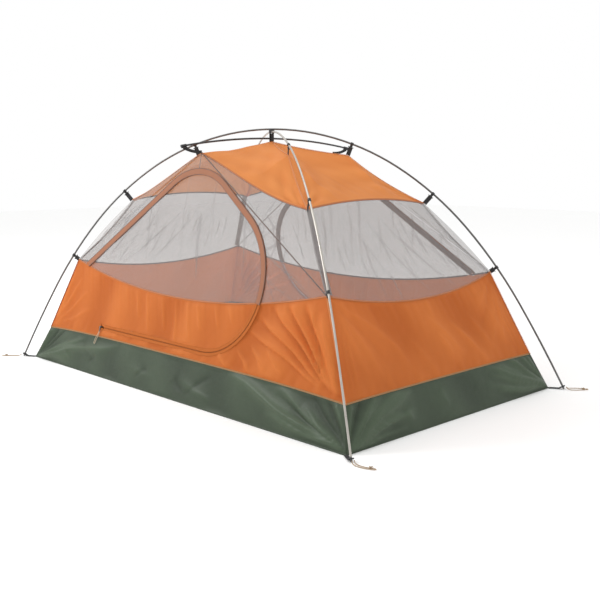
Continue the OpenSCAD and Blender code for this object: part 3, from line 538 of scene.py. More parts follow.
def fan(spots, hub, turns, reach, width, height, seed, start=0.03):
    """Folds that spread from a corner where the cloth is pulled."""
    dice = np.random.default_rng(seed)
    lift = np.zeros(len(spots))
    for turn in turns:
        a = math.radians(turn + dice.uniform(-2, 2))
        way = np.array([math.cos(a), math.sin(a)])
        far = reach * dice.uniform(0.6, 1.0)
        lift += crease(spots, np.array(hub) + way * start, np.array(hub) + way * far,
                       width * dice.uniform(0.7, 1.3), height * dice.choice([1, 1, -0.7]))
    return lift


def gathers(along, depth_in, pitch, height, reach, seed):
    """Short folds square to an edge that is sewn a little tight."""
    dice = np.random.default_rng(seed)
    ripple = sum(bands(along + dice.uniform(0, pitch), pitch * k) for k in (1, 0.61, 1.73))
    return height * ripple / 3 * np.exp(-depth_in / reach)


def ease(gap, over):
    """0 at a seam, 1 away from it."""
    s = np.clip(gap / over, 0, 1)
    return s * s * (3 - 2 * s)


def triangle_areas(points, faces):
    a, b, c = points[faces[:, 0]], points[faces[:, 1]], points[faces[:, 2]]
    return np.linalg.norm(np.cross(b - a, c - a), axis=1) / 2


def flat_size(points, faces):
    """The least rectangle that a piece was cut from, and its area."""
    area = triangle_areas(points, faces).sum()
    middle = points - points.mean(0)
    axes = np.linalg.svd(middle[::max(1, len(points) // 2000)], full_matrices=False)[2]
    flat = middle @ axes[:2].T
    best = None
    for a in np.radians(np.arange(0, 90, 3)):
        turned = flat @ np.array([[math.cos(a), -math.sin(a)], [math.sin(a), math.cos(a)]])
        w, h = np.ptp(turned, axis=0)
        if best is None or w * h < best[0] * best[1]:
            best = (w, h)
    return (round(float(min(best)), 3), round(float(max(best)), 3)), float(area)


# How strongly fold heights are painted into the cloth colour as light on ridges and shade in valleys.
painted_fold_gain = 65


def cloth(name, points, flat_points, faces, cut, look, body, node, slot, lift=0):
    """A sheet of cloth with the size that it was cut to, and its fold heights stored for its finish to
    paint shade into the valleys and light onto the ridges.
    """
    piece = make_piece(name, points, faces, cut, look, body, [node], slot)
    # The relief attribute carries painted light and shade: high folds are painted lighter and low ones
    # darker.
    layer = piece.data.attributes.new("relief", "FLOAT", "POINT")
    tone = np.tanh((np.zeros(len(points)) + lift) * painted_fold_gain)
    layer.data.foreach_set("value", tone.astype(np.float32))
    size, area = flat_size(flat_points, faces)
    return piece


def ribbon(line, outward, width, lift=0.0, crown=0.0, rows=5):
    """Points, faces and map of a flat strip that follows a line on the cloth."""
    steps = ways_along(line)
    outward = np.broadcast_to(outward, line.shape)
    wide = np.cross(steps, outward)
    wide /= np.linalg.norm(wide, axis=1)[:, None]
    outward = np.cross(wide, steps)
    travelled = lengths_along(line)
    points, cut = [], []
    for i in range(rows):
        s = i / (rows - 1) * 2 - 1
        points += list(line + wide * width / 2 * s + outward * (lift + crown * (1 - s * s)))
        cut += [(s * width / 2, far) for far in travelled]
    n = len(line)
    faces = [(r * n + i, (r + 1) * n + i, (r + 1) * n + i + 1, r * n + i + 1)
             for r in range(rows - 1) for i in range(n - 1)]
    return points, faces, cut


def joined(parts):
    """Several sets of points, faces and map as one."""
    points, faces, cut = [], [], []
    for p, f, c in parts:
        base = len(points)
        points += list(p)
        faces += [tuple(int(i) + base for i in face) for face in f]
        cut += list(c)
    return points, faces, cut


def cloth_look(name, colour, shade, roughness, weave=0.0007, crinkle=0.0006, glow=None, **settings):
    """Woven cloth: fine threads, faint slack in the weave, and painted shade down in its folds with painted
    light on their ridges.
    """
    look = Look(name, roughness, **settings)
    across, far = look.along()
    threads = wave(across, weave) * 0.5 + wave(far, weave) * 0.5
    rip = ((across % 0.006) < 0.0005) * 0.5 + ((far % 0.006) < 0.0005) * 0.5
    blotch = look.noise(0.22, 3.0) * 0.5 + look.noise(0.03, 2.0) * 0.2
    # Painted light and shade: the fold heights pull the colour toward the shade colour in valleys and
    # toward the full colour on ridges.
    proud = look.node("ShaderNodeAttribute", {"attribute_name": "relief"}, {}, "Fac")
    look.set("Base Color", look.mix(shade, colour, blotch + rip * 0.05 + proud * 1.3))
    look.set("Roughness", look.noise(0.05, 2.0) * 0.12 + (roughness - 0.06))
    look.bump(look.noise(0.035, 3.0, roughness=0.55) + look.noise(0.011, 2.0) * 0.25
              + threads * 0.06, crinkle)
    if glow:
        through = look.tree.nodes.new("ShaderNodeBsdfTranslucent")
        through.inputs["Color"].default_value = (*glow, 1)
        blend = look.tree.nodes.new("ShaderNodeMixShader")
        blend.inputs[0].default_value = 0.3
        look.tree.links.new(look.shader.outputs[0], blend.inputs[1])
        look.tree.links.new(through.outputs[0], blend.inputs[2])
        look.tree.links.new(blend.outputs[0], look.tree.nodes["Material Output"].inputs[0])
    return look


tub_look = cloth_look("green_coated_cloth", (0.064, 0.09, 0.055), (0.027, 0.039, 0.023), 0.45,
                      crinkle=0.0012, Specular_IOR_Level=0.2, Coat_Weight=0.06, Coat_Roughness=0.3)
floor_look = cloth_look("grey_floor_cloth", (0.13, 0.15, 0.12), (0.1, 0.115, 0.09), 0.5)
binding_look = Look("seam_binding", 0.8)
bind_across, bind_far = binding_look.along()
stitch = ((bind_far % 0.0036) < 0.0024) * (bind_across.sum("ABSOLUTE", bind_across) > 0.0018)
binding_look.set("Base Color", binding_look.mix((0.3, 0.15, 0.055), (0.42, 0.27, 0.13), stitch * 0.7))
binding_look.bump(stitch * 0.5 + wave(bind_far, 0.0012) * 0.3, 0.0005)
tub_skin = 0.0012
tub_top = tub_corner[2]
floor_gap = 0.03
cloth_gap = 0.0085
seam_room = 0.02
floor_spots, floor_faces = net(
    [closed(np.array([[-1, -1], [1, -1], [1, 1], [-1, 1]]) * ground_corner[:2])],
    lambda s: (abs(s[:, 0]) < ground_corner[0]) & (abs(s[:, 1]) < ground_corner[1]), floor_gap)
edge_room = (ground_corner[:2] - abs(floor_spots)).min(1)
swell = (bands(floor_spots[:, 0] + 0.4 * floor_spots[:, 1], 0.47)
         + bands(floor_spots[:, 1] - 0.3 * floor_spots[:, 0], 0.31) + 2) * 0.0006 * ease(edge_room, 0.08)
cloth("groundsheet_floor_cloth", np.column_stack([floor_spots, swell + 0.0005]),
      np.column_stack([floor_spots, swell * 0]), floor_faces, floor_spots, floor_look,
      "tent", "groundsheet_floor", "groundsheet_green")


def seam_rise(x, half, rise):
    """The tub's seam is slack, so it stands a little higher away from the corners."""
    return rise * (1 - np.minimum(np.abs(x) / half, 1) ** 4)


def tub_side(node, foot_half, top_half, foot_off, top_off, wall, turned, seed, rise):
    """One leaning side of the tub, from the ground up to the wall's seam."""
    name = node + "_cloth"
    outward = np.cross(wall.across, [0, 0, 1])
    top_spot = outward * top_off + [0, 0, tub_top]
    side = Side(wall.across, outward * foot_off, top_spot, turned)
    high = side.read(top_spot)[1]

    def lay(x, t, n=0.0):
        """A place on this side, which bends into the wall's slope above the corners' height."""
        over = np.maximum(t - high, 0)
        return side.place(x, np.minimum(t, high), n) + over[:, None] * (wall.up * side.flip)

    x = np.linspace(-top_half, top_half, 60)
    seam = np.column_stack([x, high + seam_rise(x, top_half, rise)])
    outline = np.vstack([[[-foot_half, 0], [foot_half, 0]], seam[::-1]])
    spots, faces = net([closed(outline)], lambda s: inside(outline, s), cloth_gap)
    lift = np.zeros(len(spots))
    for sign in (-1, 1):
        hub = np.array([sign * foot_half, 0.004])
        turns = [180 - a if sign > 0 else a for a in (6, 11, 17, 25, 36, 48, 60, 72, 84)]
        lift += fan(spots, hub, turns, 0.46, 0.0075, 0.010, seed + sign, 0.010)
        lift += crease(spots, hub, (sign * foot_half * 0.36, high), 0.012, 0.015)
        lift += crease(spots, hub, (sign * foot_half * 0.62, high), 0.010, 0.011)
    dice = np.random.default_rng(seed)
    for _ in range(12):
        x0 = dice.uniform(-foot_half, foot_half) * 0.75
        lift += crease(spots, (x0, dice.uniform(0.1, 0.5) * high),
                       (x0 + dice.uniform(-0.25, 0.25), dice.uniform(0.5, 0.95) * high),
                       0.013, dice.uniform(-0.005, 0.005))
    lift += 0.003 * bands(spots[:, 0] + 0.7 * spots[:, 1], 0.39) * bands(spots[:, 0], 0.83)
    lift *= ease(gap_to([closed(outline)], spots), seam_room)
    points = lay(spots[:, 0], spots[:, 1], lift - tub_skin)
    points[:, 2] = np.maximum(points[:, 2], 0.0004)
    out = wall.out * side.flip
    trim = make_piece(name + "_seam", *ribbon(lay(seam[:, 0], seam[:, 1]), out, 0.006, 0.0006, 0.0008),
                      binding_look, "tent", slot="seam_grey")
    foot_seam = spread(np.array([[-foot_half, 0.003], [foot_half, 0.003]]), 0.03)
    foot_line = lay(foot_seam[:, 0], foot_seam[:, 1])
    hem = make_piece(name + "_foot_hem", *ribbon(foot_line, side.out * side.flip, 0.005, 0.0004, 0.0006),
                     tub_look, "tent", slot="groundsheet_green")
    cloth(name, points, lay(spots[:, 0], spots[:, 1]), faces, spots, tub_look, "tent", node,
          "groundsheet_green", lift)


long_rise = 0.016
short_rise = 0.004
for turned, long_name, short_name in ((False, "near", "right"), (True, "far", "left")):
    tub_side(f"groundsheet_{long_name}_side", ground_corner[0], tub_corner[0],
             ground_corner[1], -tub_corner[1], long_side, turned, 11 + turned, long_rise)
    tub_side(f"groundsheet_{short_name}_side", ground_corner[1], -tub_corner[1],
             ground_corner[0], tub_corner[0], short_side, turned, 31 + turned, short_rise)


# ---- Lower walls and the lower part of the doors ------------------------
# Plain woven nylon, cut with a hollow top edge where the mesh begins. The
# lowest clips pull up on the wall peaks and the tub's corners hold down, so
# folds run between them. Each door's lower part is zipped into its wall.
wall_look = cloth_look("orange_wall_cloth", (0.70, 0.213, 0.052), (0.52, 0.135, 0.028), 0.62,
                       glow=(0.85, 0.24, 0.05), Specular_IOR_Level=0.15)
wall_skin = 0.0014
long_sag = 0.102
short_sag = 0.068
sag_step = 0.002


def sag_height(x, half, high, sag):
    """How high the hollow top edge of a wall runs: an arc of a large circle."""
    r = (half * half + sag * sag) / (2 * sag)
    return high - sag_step - sag + r - np.sqrt(r * r - np.minimum(abs(x), half) ** 2)


def sag_curve(half, high, sag, count=70):
    x = np.linspace(-half, half, count)
    return np.column_stack([x, sag_height(x, half, high, sag)])


long_peak = long_side.read(wall_peak)
long_foot = long_side.read(tub_corner)
short_peak = np.abs(short_side.read(wall_peak))
short_foot = np.abs(short_side.read(tub_corner))
long_top = sag_curve(long_peak[0], long_peak[1], long_sag)
short_top = sag_curve(short_peak[0], short_peak[1], short_sag)


def long_top_height(x):
    return sag_height(x, *long_peak, long_sag)


def long_folds(spots, seed):
    """Folds of a whole long side: the wall, and the door zipped into it."""
    lift = np.zeros(len(spots))
    right_foot = long_foot
    left_foot = long_foot * [-1, 1]
    for x, t, w, h in ((0.86, 0.47, 0.008, 0.016), (0.79, 0.50, 0.010, 0.026), (0.70, 0.49, 0.012, 0.032),
                       (0.61, 0.47, 0.011, 0.026), (0.53, 0.42, 0.010, 0.020), (0.47, 0.36, 0.009, 0.015)):
        reach = 0.93 if x > 0.6 else 0.8
        end = np.array([x, t])
        lift += crease(spots, end, end + (right_foot - [0.02, 0] - end) * reach, w, h, -0.25)
        dip = end - [0.032, 0.004]
        low = dip + (right_foot - [0.04, 0] - dip) * reach
        lift -= crease(spots, dip, low, 0.007, 0.55 * h, -0.25)
    for x, t, far in ((0.30, 0.245, 0.10), (0.42, 0.27, 0.11), (0.50, 0.30, 0.13), (0.60, 0.30, 0.11)):
        lift += crease(spots, (x, t), (x + far, t - 0.85 * far), 0.008, 0.011)
    for x, t, w, h in ((-0.87, 0.47, 0.009, 0.009), (-0.80, 0.44, 0.009, 0.009),
                       (-0.73, 0.38, 0.008, 0.007), (-0.68, 0.30, 0.007, 0.006),
                       (-0.90, 0.36, 0.006, 0.006)):
        end = np.array([x, t])
        lift += crease(spots, end, end + (left_foot + [0.02, 0] - end) * 0.82, w, h, -0.2)
    for x, drop in ((-0.33, 0.14), (-0.24, 0.19), (-0.13, 0.17), (-0.03, 0.22),
                    (0.06, 0.16), (0.13, 0.13), (0.24, 0.10), (0.33, 0.08)):
        t = long_top_height(x)
        lift += crease(spots, (x, t + 0.01), (x + 0.05, t - drop), 0.008, 0.0075, 0.2)
    top = long_top_height(spots[:, 0])
    lift += gathers(spots[:, 0] + 0.25 * spots[:, 1], np.clip(top - spots[:, 1], 0, 1), 0.052,
                    0.0022, 0.08, seed)
    lift += gathers(spots[:, 0] - 0.5 * spots[:, 1], np.clip(spots[:, 1] - long_foot[1], 0, 1), 0.085,
                    0.0045, 0.05, seed + 1)
    lift += 0.006 * bands(spots[:, 0] - 0.35 * spots[:, 1], 0.37) * bands(spots[:, 0], 1.1)
    return lift


def short_folds(spots, seed):
    """Folds of a short side: smoother, with soft diagonals from both peaks."""
    lift = np.zeros(len(spots))
    for x, t, x1, t1, h in ((-0.02, 0.44, 0.16, 0.24, 0.006), (0.12, 0.40, 0.30, 0.19, 0.008),
                            (0.02, 0.36, 0.10, 0.22, 0.005), (0.26, 0.42, 0.38, 0.20, 0.005),
                            (-0.30, 0.42, -0.18, 0.22, 0.004), (0.40, 0.44, 0.47, 0.24, 0.004),
                            (-0.16, 0.38, -0.05, 0.20, 0.004)):
        lift += crease(spots, (x, t), (x1, t1), 0.018, h)
    for sign in (-1, 1):
        hub = np.array([sign * short_peak[0], short_peak[1]])
        turns = [-90 - sign * a for a in (14, 26, 38, 50)]
        lift += fan(spots, hub, turns, 0.4, 0.012, 0.004, seed + sign, 0.05)
        edge = np.array([sign * short_foot[0], short_foot[1]])
        for k in range(3):
            inset = 0.014 + 0.022 * k
            lift += crease(spots, edge + [-sign * inset * 1.4, 0.012], hub - [sign * inset, 0.07],
                           0.006, 0.004)
    top = sag_height(spots[:, 0], *short_peak, short_sag)
    lift += gathers(spots[:, 0] + 0.2 * spots[:, 1], np.clip(top - spots[:, 1], 0, 1), 0.07,
                    0.003, 0.08, seed)
    lift += gathers(spots[:, 0], np.clip(spots[:, 1] - short_foot[1], 0, 1), 0.09,
                    0.003, 0.06, seed + 1)
    lift += 0.005 * bands(spots[:, 0] + 0.5 * spots[:, 1], 0.43) * bands(spots[:, 1], 0.9)
    return lift


garage_l = slider_l + 0.024
garage = np.array([[hinge_x - garage_l, door_t - zip_gap], [hinge_x + 0.004, door_t - zip_gap],
                   [hinge_x - 0.004, door_t + zip_gap], [hinge_x - garage_l, door_t + zip_gap]])


def wall_foot(foot, rise):
    """The lower edge of a wall, sewn to the tub."""
    x = np.linspace(-foot[0], foot[0], 60)
    return np.column_stack([x, foot[1] + seam_rise(x, foot[0], rise)])


wall_outline = np.vstack([wall_foot(long_foot, long_rise), long_top[::-1]])
wall_edges = [closed(wall_outline)]
door_hole = door_edge(zip_gap)
door_shape = door_edge(-zip_gap)


def long_lift(spots, seed, seams):
    return long_folds(spots, seed) * ease(gap_to(seams, spots), seam_room)


def hang(name, side, net_made, lift, look, body, node, slot):
    """A sheet on one side of the tent, set in from the side's outer face."""
    spots, faces = net_made
    flat_points = side.place(spots[:, 0], spots[:, 1])
    return cloth(name, side.place(spots[:, 0], spots[:, 1], lift - wall_skin), flat_points, faces, spots,
                 look, body, node, slot, lift)


hinge_soft = 0.05


def swing_with_door(piece, end):
    """Bakes the place of a piece of the door into its points; the hinge line beside it is worked out but
    not used.
    """
    side = long_sides[end]
    end + "_door"
    side.place(*hinge_foot)
    side.place(*(hinge_foot + hinge_square * hinge_soft))
    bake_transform(piece)


def in_wall(spots):
    return inside(wall_outline, spots) & ~inside(door_hole, spots) & ~inside(garage, spots)


for end, side in long_sides.items():
    seed = 5 if end == "near" else 75
    wall_net = net([closed(wall_outline), closed(door_hole), closed(garage)], in_wall, cloth_gap)
    hang(end + "_wall_cloth", side, wall_net, long_lift(wall_net[0], seed, wall_edges + [door_hole[:-1]]),
         wall_look, "tent", end + "_lower_wall", "wall_orange")
    door_net = net([closed(door_shape), long_top],
                   lambda s: inside(door_shape, s) & (s[:, 1] < long_top_height(s[:, 0])), cloth_gap)
    door_cloth = hang(end + "_door_cloth", side, door_net,
                      long_lift(door_net[0], seed, [door_shape[:-1], long_top]), wall_look, None,
                      end + "_door_lower_panel", "wall_orange")
    swing_with_door(door_cloth, end)

short_outline = np.vstack([wall_foot(short_foot, short_rise), short_top[::-1]])
for end, side in short_sides.items():
    wall_net = net([closed(short_outline)], lambda s: inside(short_outline, s), cloth_gap)
    lift = short_folds(wall_net[0], 22 if end == "right" else 92)
    lift *= ease(gap_to([closed(short_outline)], wall_net[0]), seam_room)
    hang(end + "_wall_cloth", side, wall_net, lift, wall_look, "tent", end + "_lower_wall", "wall_orange")


# ---- Mesh ---------------------------------------------------------------
# Fine knitted insect mesh, see-through and grey. It hangs between the walls
# and the roof, a little slack, so soft upright wrinkles stand in it. Each
# wrinkle is made less see-through, where the eye passes through more
# threads, and its colour is darkened there as painted shade in the fold.
def mesh_look(name, colour, cover):
    look = Look(name, 0.9, Specular_IOR_Level=0.15)
    across, far = look.along()
    # Painted shade: the wrinkle marks darken the mesh colour in its folds, and they also thicken its cover.
    crowd_and_shade = look.node("ShaderNodeAttribute", {"attribute_name": "wrinkle"}, {}, "Fac")
    knit = wave(across, 0.0016) * wave(far, 0.0019)
    look.set("Base Color", look.mix(colour, tuple(c * 0.5 for c in colour), crowd_and_shade * 0.9))
    look.set("Alpha", (knit - 0.5) * 0.12 + look.noise(0.15) * 0.06 + crowd_and_shade * 0.42 + cover)
    look.bump(knit, 0.0002)
    return look


mesh_cloth = mesh_look("grey_insect_mesh", (0.35, 0.325, 0.315), 0.445)
edge_look = Look("dark_edge_binding", 0.8)
edge_far = edge_look.along()[1]
edge_look.set("Base Color", edge_look.mix((0.13, 0.095, 0.085), (0.2, 0.155, 0.135),
                                          wave(edge_far, 0.0036) * edge_look.noise(0.02)))
edge_look.bump(wave(edge_far, 0.0036), 0.0003)
hem_look = Look("orange_hem_tape", 0.8)
hem_far = hem_look.along()[1]
hem_look.set("Base Color", hem_look.mix((0.36, 0.12, 0.045), (0.5, 0.17, 0.055), wave(hem_far, 0.0036)))
hem_look.bump(wave(hem_far, 0.0036), 0.0003)
hem_faces = (("outer", 0.0004, hem_look), ("inner", -0.0034, edge_look))
hem_w = 0.006
hem_crown = 0.0006


def mark_wrinkles(piece, amount):
    layer = piece.data.attributes.new("wrinkle", "FLOAT", "POINT")
    layer.data.foreach_set("value", np.clip(amount, 0, 1).astype(np.float32))


def wrinkle_set(spots, pairs, seed, width=0.004):
    """Thin folds in the mesh: how far they stand out, and how dark they look."""
    dice = np.random.default_rng(seed)
    lift = np.zeros(len(spots))
    dark = np.zeros(len(spots))
    for start, end in pairs:
        w = width * dice.uniform(0.7, 1.3)
        one = crease(spots, start, end, w, 1.0, 0.2)
        lift += one * dice.uniform(0.5, 1.0)
        dark += one * dice.uniform(0.25, 0.8)
    return lift, dark


def drape_lines(x0, x1, count, low, high, lean, seed):
    """Starts and ends of upright wrinkles between two heights."""
    dice = np.random.default_rng(seed)
    pairs = []
    for i in range(count):
        x = x0 + (x1 - x0) * (i + dice.uniform(0.2, 0.8)) / count
        tilt = lean * dice.uniform(0.5, 1.4)
        a, b = sorted(dice.uniform(0, 1, 2))
        b = max(b, a + 0.35)
        pairs.append(((x + tilt * a, low + (high - low) * a),
                      (x + tilt * b, low + (high - low) * min(b, 1))))
    return pairs


mesh_gap = 0.009
mesh_room = 0.03
mesh_slack = 0.004
peak_up = long_side.read(door_peak)[1]
side_mesh = np.vstack([long_top, [[0, peak_up]]])


def above_sag(spots):
    return spots[:, 1] > long_top_height(spots[:, 0])


def mesh_folds(spots, wrinkles, seed, seams):
    """How far the mesh of a long side stands out, and how dark its wrinkles look."""
    lift, dark = wrinkle_set(spots, wrinkles, seed)
    return (lift + bands(spots[:, 0], 0.3)) * mesh_slack * ease(gap_to(seams, spots), mesh_room), dark


def runs_where(chosen):
    """The unbroken runs of places along a line that are chosen."""
    return [run for run in np.split(np.arange(len(chosen)), np.where(np.diff(chosen))[0] + 1)
            if chosen[run[0]]]


for end, side in long_sides.items():
    seed = 41 if end == "near" else 141
    wrinkles = drape_lines(-0.75, 0.8, 16, long_peak[1] - 0.08, peak_up, -0.04, seed)
    wrinkles += [((0.80, 0.50), (0.30, 0.80)), ((0.74, 0.47), (0.42, 0.62)), ((0.62, 0.44), (0.44, 0.72))]
    spots, faces = net([closed(side_mesh), closed(door_hole)],
                       lambda s: inside(side_mesh, s) & ~inside(door_hole, s) & above_sag(s), mesh_gap)
    lift, dark = mesh_folds(spots, wrinkles, seed, [closed(side_mesh), door_hole[:-1]])
    middle_x = spots[faces].mean(1)[:, 0]
    for part, chosen in (("left", middle_x < -0.1), ("top", (middle_x >= -0.1) & (middle_x < 0.36)),
                         ("right", (middle_x >= 0.36) & (middle_x < 0.62)), ("peak", middle_x >= 0.62)):
        used, back = np.unique(faces[chosen], return_inverse=True)
        strip = hang(f"{end}_{part}_mesh_strip", side, (spots[used], back.reshape(-1, 3)), lift[used],
                     mesh_cloth, "tent", end + "_mesh_panel", "mesh_grey")
        mark_wrinkles(strip, dark[used])
    door_net = net([closed(door_shape), long_top],
                   lambda s: inside(door_shape, s) & above_sag(s), mesh_gap)
    lift, dark = mesh_folds(door_net[0], wrinkles, seed, [door_shape[:-1], long_top])
    door_mesh = hang(end + "_door_mesh", side, door_net, lift, mesh_cloth, None,
                     end + "_door_mesh_panel", "mesh_grey")
    mark_wrinkles(door_mesh, dark)
    swing_with_door(door_mesh, end)
    rim = side.place(long_top[:, 0], long_top[:, 1])
    in_door = inside(door_shape, long_top)
    for part, chosen in (("wall", ~in_door), ("door", in_door)):
        for face, off, look in hem_faces:
            strips = [ribbon(rim[run], side.out * side.flip, hem_w, off, hem_crown)
                      for run in runs_where(chosen) if len(run) > 1]
            hem = make_piece(f"{end}_{part}_{face}_top_hem", *joined(strips), look,
                             None if part == "door" else "tent", slot="seam_grey")
            if part == "door":
                swing_with_door(hem, end)


# The gussets beside the doors, the short ends, and the roof lie between
# curved edges, so each is laid out from one edge to the other.
def bow_in(a, b, depth):
    """A seam between two held points, drawn in a little toward the inside of the tent."""
    s = np.linspace(0, 1, 40)
    heart = np.array([0, 0, 0.35])
    line = a + s[:, None] * (b - a)
    pull = heart - line
    pull /= np.linalg.norm(pull, axis=1)[:, None]
    return line + pull * (4 * depth * s * (1 - s))[:, None]


def at_share(line, shares):
    """Places on a line at shares of its length."""
    far = lengths_along(line)
    return np.column_stack([np.interp(np.asarray(shares) * far[-1], far, line[:, k]) for k in range(3)])


least_area = 0.5e-10


def sheet_between(low, high, columns, rows, relief):
    """A net between two edges, lifted off by relief(u, v) along its own normals."""
    u = np.linspace(0, 1, columns)
    v = np.linspace(0, 1, rows)
    bottom, top = at_share(low, u), at_share(high, u)
    grid = bottom[None] + v[:, None, None] * (top - bottom)[None]
    du = np.gradient(grid, axis=1)
    dv = np.gradient(grid, axis=0)
    normal = np.cross(du, dv)
    size = np.linalg.norm(normal, axis=2)[..., None]
    normal = normal / np.maximum(size, 1e-12)
    uu, vv = np.meshgrid(u, v)
    width = np.linalg.norm(np.diff(bottom, axis=0), axis=1).sum()
    height = np.linalg.norm(top - bottom, axis=1).max()
    lift = relief(uu * width, vv * height, uu, vv)
    points = (grid + normal * np.asarray(lift)[..., None]).reshape(-1, 3)
    faces = [(r * columns + i, r * columns + i + 1, (r + 1) * columns + i + 1, (r + 1) * columns + i)
             for r in range(rows - 1) for i in range(columns - 1)]
    cut = np.column_stack([(uu * width).ravel(), (vv * height).ravel()])
    tri = np.array([t for f in faces for t in ((f[0], f[1], f[2]), (f[0], f[2], f[3]))])
    flat_points = grid.reshape(-1, 3)
    return points, flat_points, tri[triangle_areas(flat_points, tri) > least_area], cut


roof_dip = 0.022
roof_arch = 0.028
dip_chord = door_peak - roof_tip
gusset_square = np.cross(dip_chord, wall_peak - roof_tip)
dip_way = np.cross(gusset_square, dip_chord)
dip_way /= np.linalg.norm(dip_way)
dip_share = np.linspace(0, 1, 41)
dip_curve = (roof_tip + dip_share[:, None] * dip_chord
             + (roof_dip * 6.75 * dip_share * (1 - dip_share) ** 2)[:, None] * dip_way)
tip_seam = bow_in(wall_peak, roof_tip, 0.012)
tip_share = np.linspace(-1, 1, 61)
arch_curve = np.column_stack([np.full(61, roof_tip[0]), tip_share * abs(roof_tip[1]),
                              roof_tip[2] + roof_arch * (1 - tip_share ** 2)])


half_turn = np.array([-1, -1, 1])
gusset_flips = {"near_right": np.array([1, 1, 1]), "near_left": mirror_x,
                "far_left": half_turn, "far_right": mirror_y}
peak_line = np.linspace(wall_peak, door_peak, 41)
gusset_wrinkles = [((0.25, 0.02), (0.42, 0.18)), ((0.5, 0.02), (0.62, 0.14)), ((0.12, 0.03), (0.16, 0.3)),
                   ((0.68, 0.01), (0.78, 0.1)), ((0.36, 0.02), (0.4, 0.2))]


def gusset_relief(x, y, u, v):
    """The slack of a gusset, most where it is widest."""
    lift, dark = wrinkle_set(np.column_stack([x.ravel(), y.ravel()]), gusset_wrinkles, 7)
    gusset_relief.dark = dark
    hollow = 0.008 * np.sin(math.pi * v) * (1 - u)
    return (lift.reshape(x.shape) * mesh_slack - hollow) * ease(1 - u, 0.2)


for end, flip in gusset_flips.items():
    points, flat_points, faces, cut = sheet_between(peak_line, dip_curve, 100, 36, gusset_relief)
    if flip[0] != flip[1]:
        faces = faces[:, ::-1]
    piece = cloth(end + "_gusset_mesh", points * flip, flat_points * flip, faces, cut,
                  mesh_cloth, "tent", end + "_mesh_gusset", "mesh_grey")
    mark_wrinkles(piece, gusset_relief.dark)

short_rim = short_side.place(short_top[:, 0], short_top[:, 1])
for end, side in short_sides.items():
    pairs = drape_lines(0.1, 1.0, 13, 0.0, 0.4, 0.02, 17 if end == "right" else 57)
    pairs += [((0.55, 0.40), (0.80, 0.02)), ((0.42, 0.41), (0.62, 0.03)), ((0.68, 0.4), (0.93, 0.06)),
              ((0.3, 0.4), (0.42, 0.1))]

    def end_relief(x, y, u, v):
        """The slack of an end's mesh, none at its lower and upper edges."""
        lift, dark = wrinkle_set(np.column_stack([x.ravel(), y.ravel()]), pairs, 19)
        end_relief.dark = dark
        slack = (lift.reshape(x.shape) * mesh_slack - 0.014 * np.sin(math.pi * v)
                 + 0.003 * bands(x, 0.21) * np.sin(math.pi * u))
        return slack * np.sin(math.pi * np.clip(v, 0, 1)) ** 0.4

    points, flat_points, faces, cut = sheet_between(short_rim, arch_curve, 130, 44, end_relief)
    piece = cloth(end + "_end_mesh", points * side.flip, flat_points * side.flip, faces, cut, mesh_cloth,
                  "tent", end + "_mesh_panel", "mesh_grey")
    mark_wrinkles(piece, end_relief.dark)
    for face, off, look in hem_faces:
        make_piece(f"{end}_wall_{face}_top_hem",
                   *ribbon(short_rim * side.flip, side.out * side.flip, hem_w, off, hem_crown),
                   look, "tent", slot="seam_grey")


# ---- Roof ---------------------------------------------------------------
# Four panels of the same nylon in a lighter orange meet along four ridge
# seams that run from each tip over the upper clip to the apex. They hang
# from the clips, so every seam and panel sags a little between them.
roof_look = cloth_look("orange_roof_cloth", (0.86, 0.33, 0.098), (0.7, 0.24, 0.066), 0.58,
                       glow=(0.98, 0.36, 0.085), Specular_IOR_Level=0.15)
ridge_seam = np.vstack([bow_in(roof_tip, roof_shoulder, 0.014),
                        bow_in(roof_shoulder, roof_apex, 0.006)[1:]])


def roof_relief(x, y, u, v):
    """The soft folds of a roof panel, held flat along its edges."""
    edge = np.minimum(np.minimum(v, 1 - v) * 2.2, 1)
    folds = 0.0025 * bands(x + 0.8 * y, 0.17) * np.abs(2 * u - 1) + 0.002 * bands(x - 1.3 * y, 0.29)
    pull = 0.004 * bands(u, 0.09) * np.exp(-v * 6) * np.sin(math.pi * u)
    soft = np.sin(math.pi * np.clip(edge, 0, 1) / 2)
    # The folds without the sag, kept for the finish to paint light on their ridges and shade in their
    # valleys.
    roof_relief.lift = ((folds + pull) * soft).ravel()
    return (folds + pull - 0.007 * np.sin(math.pi * v)) * soft


door_run = np.vstack([(dip_curve * mirror_x), dip_curve[::-1][1:]])
over_run = np.vstack([ridge_seam * mirror_x, ridge_seam[::-1][1:]])
end_run = np.vstack([ridge_seam, (ridge_seam * mirror_y)[::-1][1:]])
roof_edges = {"near": (door_run, over_run), "right": (arch_curve, end_run),
              "far": (door_run, over_run), "left": (arch_curve, end_run)}
for name, (low, high) in roof_edges.items():
    flip = (long_sides | short_sides)[name].flip
    points, flat_points, faces, cut = sheet_between(low, high, 180, 50, roof_relief)
    edging = low * flip
    outward = edging - [0, 0, 0.5]
    hem = make_piece(name + "_roof_hem", *ribbon(edging, outward, 0.007, 0.0006, 0.0008),
                     hem_look, "tent", slot="seam_grey")
    lining = make_piece(name + "_roof_lining", *ribbon(edging, outward, 0.008, -0.0034, 0.0006),
                        edge_look, "tent", slot="seam_grey")
    cloth(name + "_roof_cloth", points * flip, flat_points * flip, faces, cut, roof_look, "tent",
          name + "_roof_panel", "roof_orange",
          roof_relief.lift)

